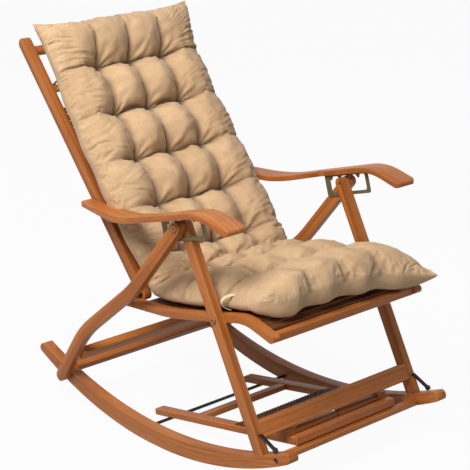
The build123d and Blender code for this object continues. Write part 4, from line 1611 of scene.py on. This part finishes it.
@dataclass
class BeadMat:
    """Rows of small dark beads on rods that lie across the footrest's bars, behind the turned row.

    The rods rest where the turned row's tenons do, whose radius is waist_radius.
    """

    rows: int = 5
    first: float = 0.0125
    pitch: float = 0.0088
    radius: float = 0.0042
    stretch: Point = (1.12, 1.0, 1.0)
    turns: int = 9
    rod_radius: float = 0.0017
    waist_radius: float = 0.0062
    tenon: float = 0.0235
    rearward: Pair = (0.986111, -0.166087)
    grain_scale: float = 3.0

    def build(self, slats: Material) -> None:
        """String the beads: small ellipsoids on rods, all in one piece.

        Args:
            slats: The dark bamboo's finish.
        """
        node = frame["nodes"]["bead_row"]
        points = mesh_coordinates(node.data)
        low, high = points.min(axis=0), points.max(axis=0)
        middle = (low + high)[1:] / 2
        reach = high[0] - self.tenon - self.radius
        count = int(2.0 * reach / self.pitch)
        back = (self.first + self.pitch * np.arange(self.rows))[:, None]
        lift = self.rod_radius - self.waist_radius
        y = middle[0] + self.rearward[0] * back
        z = middle[1] + self.rearward[1] * back + lift
        x = np.linspace(-reach, reach, count)[None, :]
        spots = np.stack(np.broadcast_arrays(x, y, z), axis=-1).reshape(-1, 3)
        bead = ellipsoid(np.array(self.stretch) * self.radius, np.pi / 2, self.turns)
        beads, bead_faces = repeated(*bead, spots)
        rod = closed_bar(high[0], (self.rod_radius, self.rod_radius), 1.0)
        rods, rod_faces = repeated(*rod, spots[::count] * np.array((0.0, 1.0, 1.0)))
        points = np.concatenate([beads, rods])
        faces = np.concatenate([bead_faces, rod_faces + len(beads)])
        piece = new_object("bead_mat", points, faces)
        store_grain(piece.data, points * self.grain_scale)
        dress(piece, slats)
        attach(piece, node["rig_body"])


@dataclass
class SeatLath:
    """The seat mat's front lath, which closes the mat against the front rail."""

    half_length: float = 0.2236
    middle: tuple[float, float] = (-0.4040, 0.3790)
    half_size: Pair = (0.0034, 0.0075)
    power: float = 0.4
    sharp_angle: float = 0.9

    def build(self, slats: Material) -> None:
        """Make the lath as a closed tube of squared section.

        Args:
            slats: The dark bamboo's finish.
        """
        points, faces = closed_bar(self.half_length, self.half_size, self.power)
        points = points + np.array((0.0, *self.middle))
        piece = new_object("seat_lath", points, faces)
        piece.data.set_sharp_from_angle(angle=self.sharp_angle)
        store_grain(piece.data, points)
        dress(piece, slats)
        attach(piece, Region.SEAT.value)


@dataclass(frozen=True)
class Lamp:
    """One square area lamp that faces the chair, of a power in watts."""

    name: str
    place: Point
    size: float
    power: float
    target: Point = (0.0, 0.0, 0.45)

    def hang(self) -> None:
        """Hang the lamp."""
        data = bpy.data.lights.new(self.name, "AREA")
        data.size = self.size
        data.energy = self.power
        lamp = placed(self.name, data)
        lamp.location = self.place
        aim = Vector(self.target) - Vector(self.place)
        lamp.rotation_euler = aim.to_track_quat("-Z", "Y").to_euler()


@dataclass
class Studio:
    """Camera, soft lamps, an even white surround and a plain white floor."""

    eye: Point = (-2.5777, -2.8011, 1.6805)
    look: Point = (0.6507, 0.6952, -0.3057)
    lens: float = 125.6
    sensor: float = 36.0
    far: float = 60.0
    floor_half: float = 14.0
    floor_lines: int = 9
    floor_drop: float = 0.0006
    floor_grey: float = 0.4
    floor_glow: float = 0.955
    surround: float = 0.19
    backdrop: float = 0.965
    lamps: tuple[Lamp, ...] = (
        Lamp("key", (-2.0, -0.6, 3.1), 1.6, 140.0),
        Lamp("fill", (-2.2, -3.2, 0.9), 2.0, 15.0),
        Lamp("back", (0.6, 2.4, 2.8), 2.0, 12.0),
    )

    def build(self) -> None:
        """Set up the whole studio."""
        self.place_camera()
        self.lay_floor()
        self.light()

    def place_camera(self) -> None:
        """Put the camera at the photograph's viewing angle."""
        data = bpy.data.cameras.new("camera")
        data.lens = self.lens
        data.sensor_width = self.sensor
        data.clip_end = self.far
        camera = placed("camera", data)
        camera.location = self.eye
        camera.rotation_euler = Vector(self.look).to_track_quat("-Z", "Y").to_euler()
        bpy.context.scene.camera = camera

    def lay_floor(self) -> None:
        """Lay a white floor that keeps a faint shadow."""
        side = np.linspace(-self.floor_half, self.floor_half, self.floor_lines)
        x, y = np.meshgrid(side, side)
        points = np.stack([x.ravel(), y.ravel(), np.full(x.size, -self.floor_drop)], axis=1)
        floor = new_object("floor", points, grid_faces(np.arange(x.size).reshape(x.shape)))
        graph = MaterialGraph("floor_white")
        matte = graph.add("BsdfDiffuse", {"Color": (self.floor_grey,) * 3 + (1.0,)}).outputs[0]
        glow = graph.add("Emission", {"Color": (1.0, 1.0, 1.0, 1.0), "Strength": 1.0}).outputs[0]
        share = graph.math("MULTIPLY", graph.seen(), self.floor_glow)
        mixed = graph.add("MixShader", {0: share, 1: matte, 2: glow}).outputs[0]
        floor.data.materials.append(graph.close(mixed))

    def light(self) -> None:
        """Hang the lamps in a surround that lights faintly and looks white."""
        world = bpy.data.worlds.new("surround")
        bpy.context.scene.world = world
        world.use_nodes = True
        graph = Graph(world.node_tree)
        shade = graph.tree.nodes["Background"]
        shade.inputs["Color"].default_value = (1.0, 1.0, 1.0, 1.0)
        strength = graph.math("MULTIPLY_ADD", graph.seen(), self.backdrop - self.surround, self.surround)
        graph.tree.links.new(strength, shade.inputs["Strength"])
        for lamp in self.lamps:
            lamp.hang()


def main() -> None:
    """Build and dress the chair piece by piece."""
    logging.basicConfig(level=logging.INFO, format="%(name)s: %(message)s")
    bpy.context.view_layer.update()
    bpy.context.scene.view_settings.view_transform = "Standard"
    Studio().build()
    slats = SLAT_BAMBOO.material()
    Timberwork().build(BAMBOO.material(), slats)
    BeadMat().build(slats)
    SeatLath().build(slats)
    Ironwork().build(BRACKET_STEEL.material(), DARK_STEEL.material(), BRONZED_BOLT)
    tufts = TuftedPad().build(PAD_CLOTH.material())
    TuftStitches().build(tufts, THREAD_CLOTH.material())
    PadTies().build(TAPE_CLOTH.material())


if __name__ == "__main__":
    main()
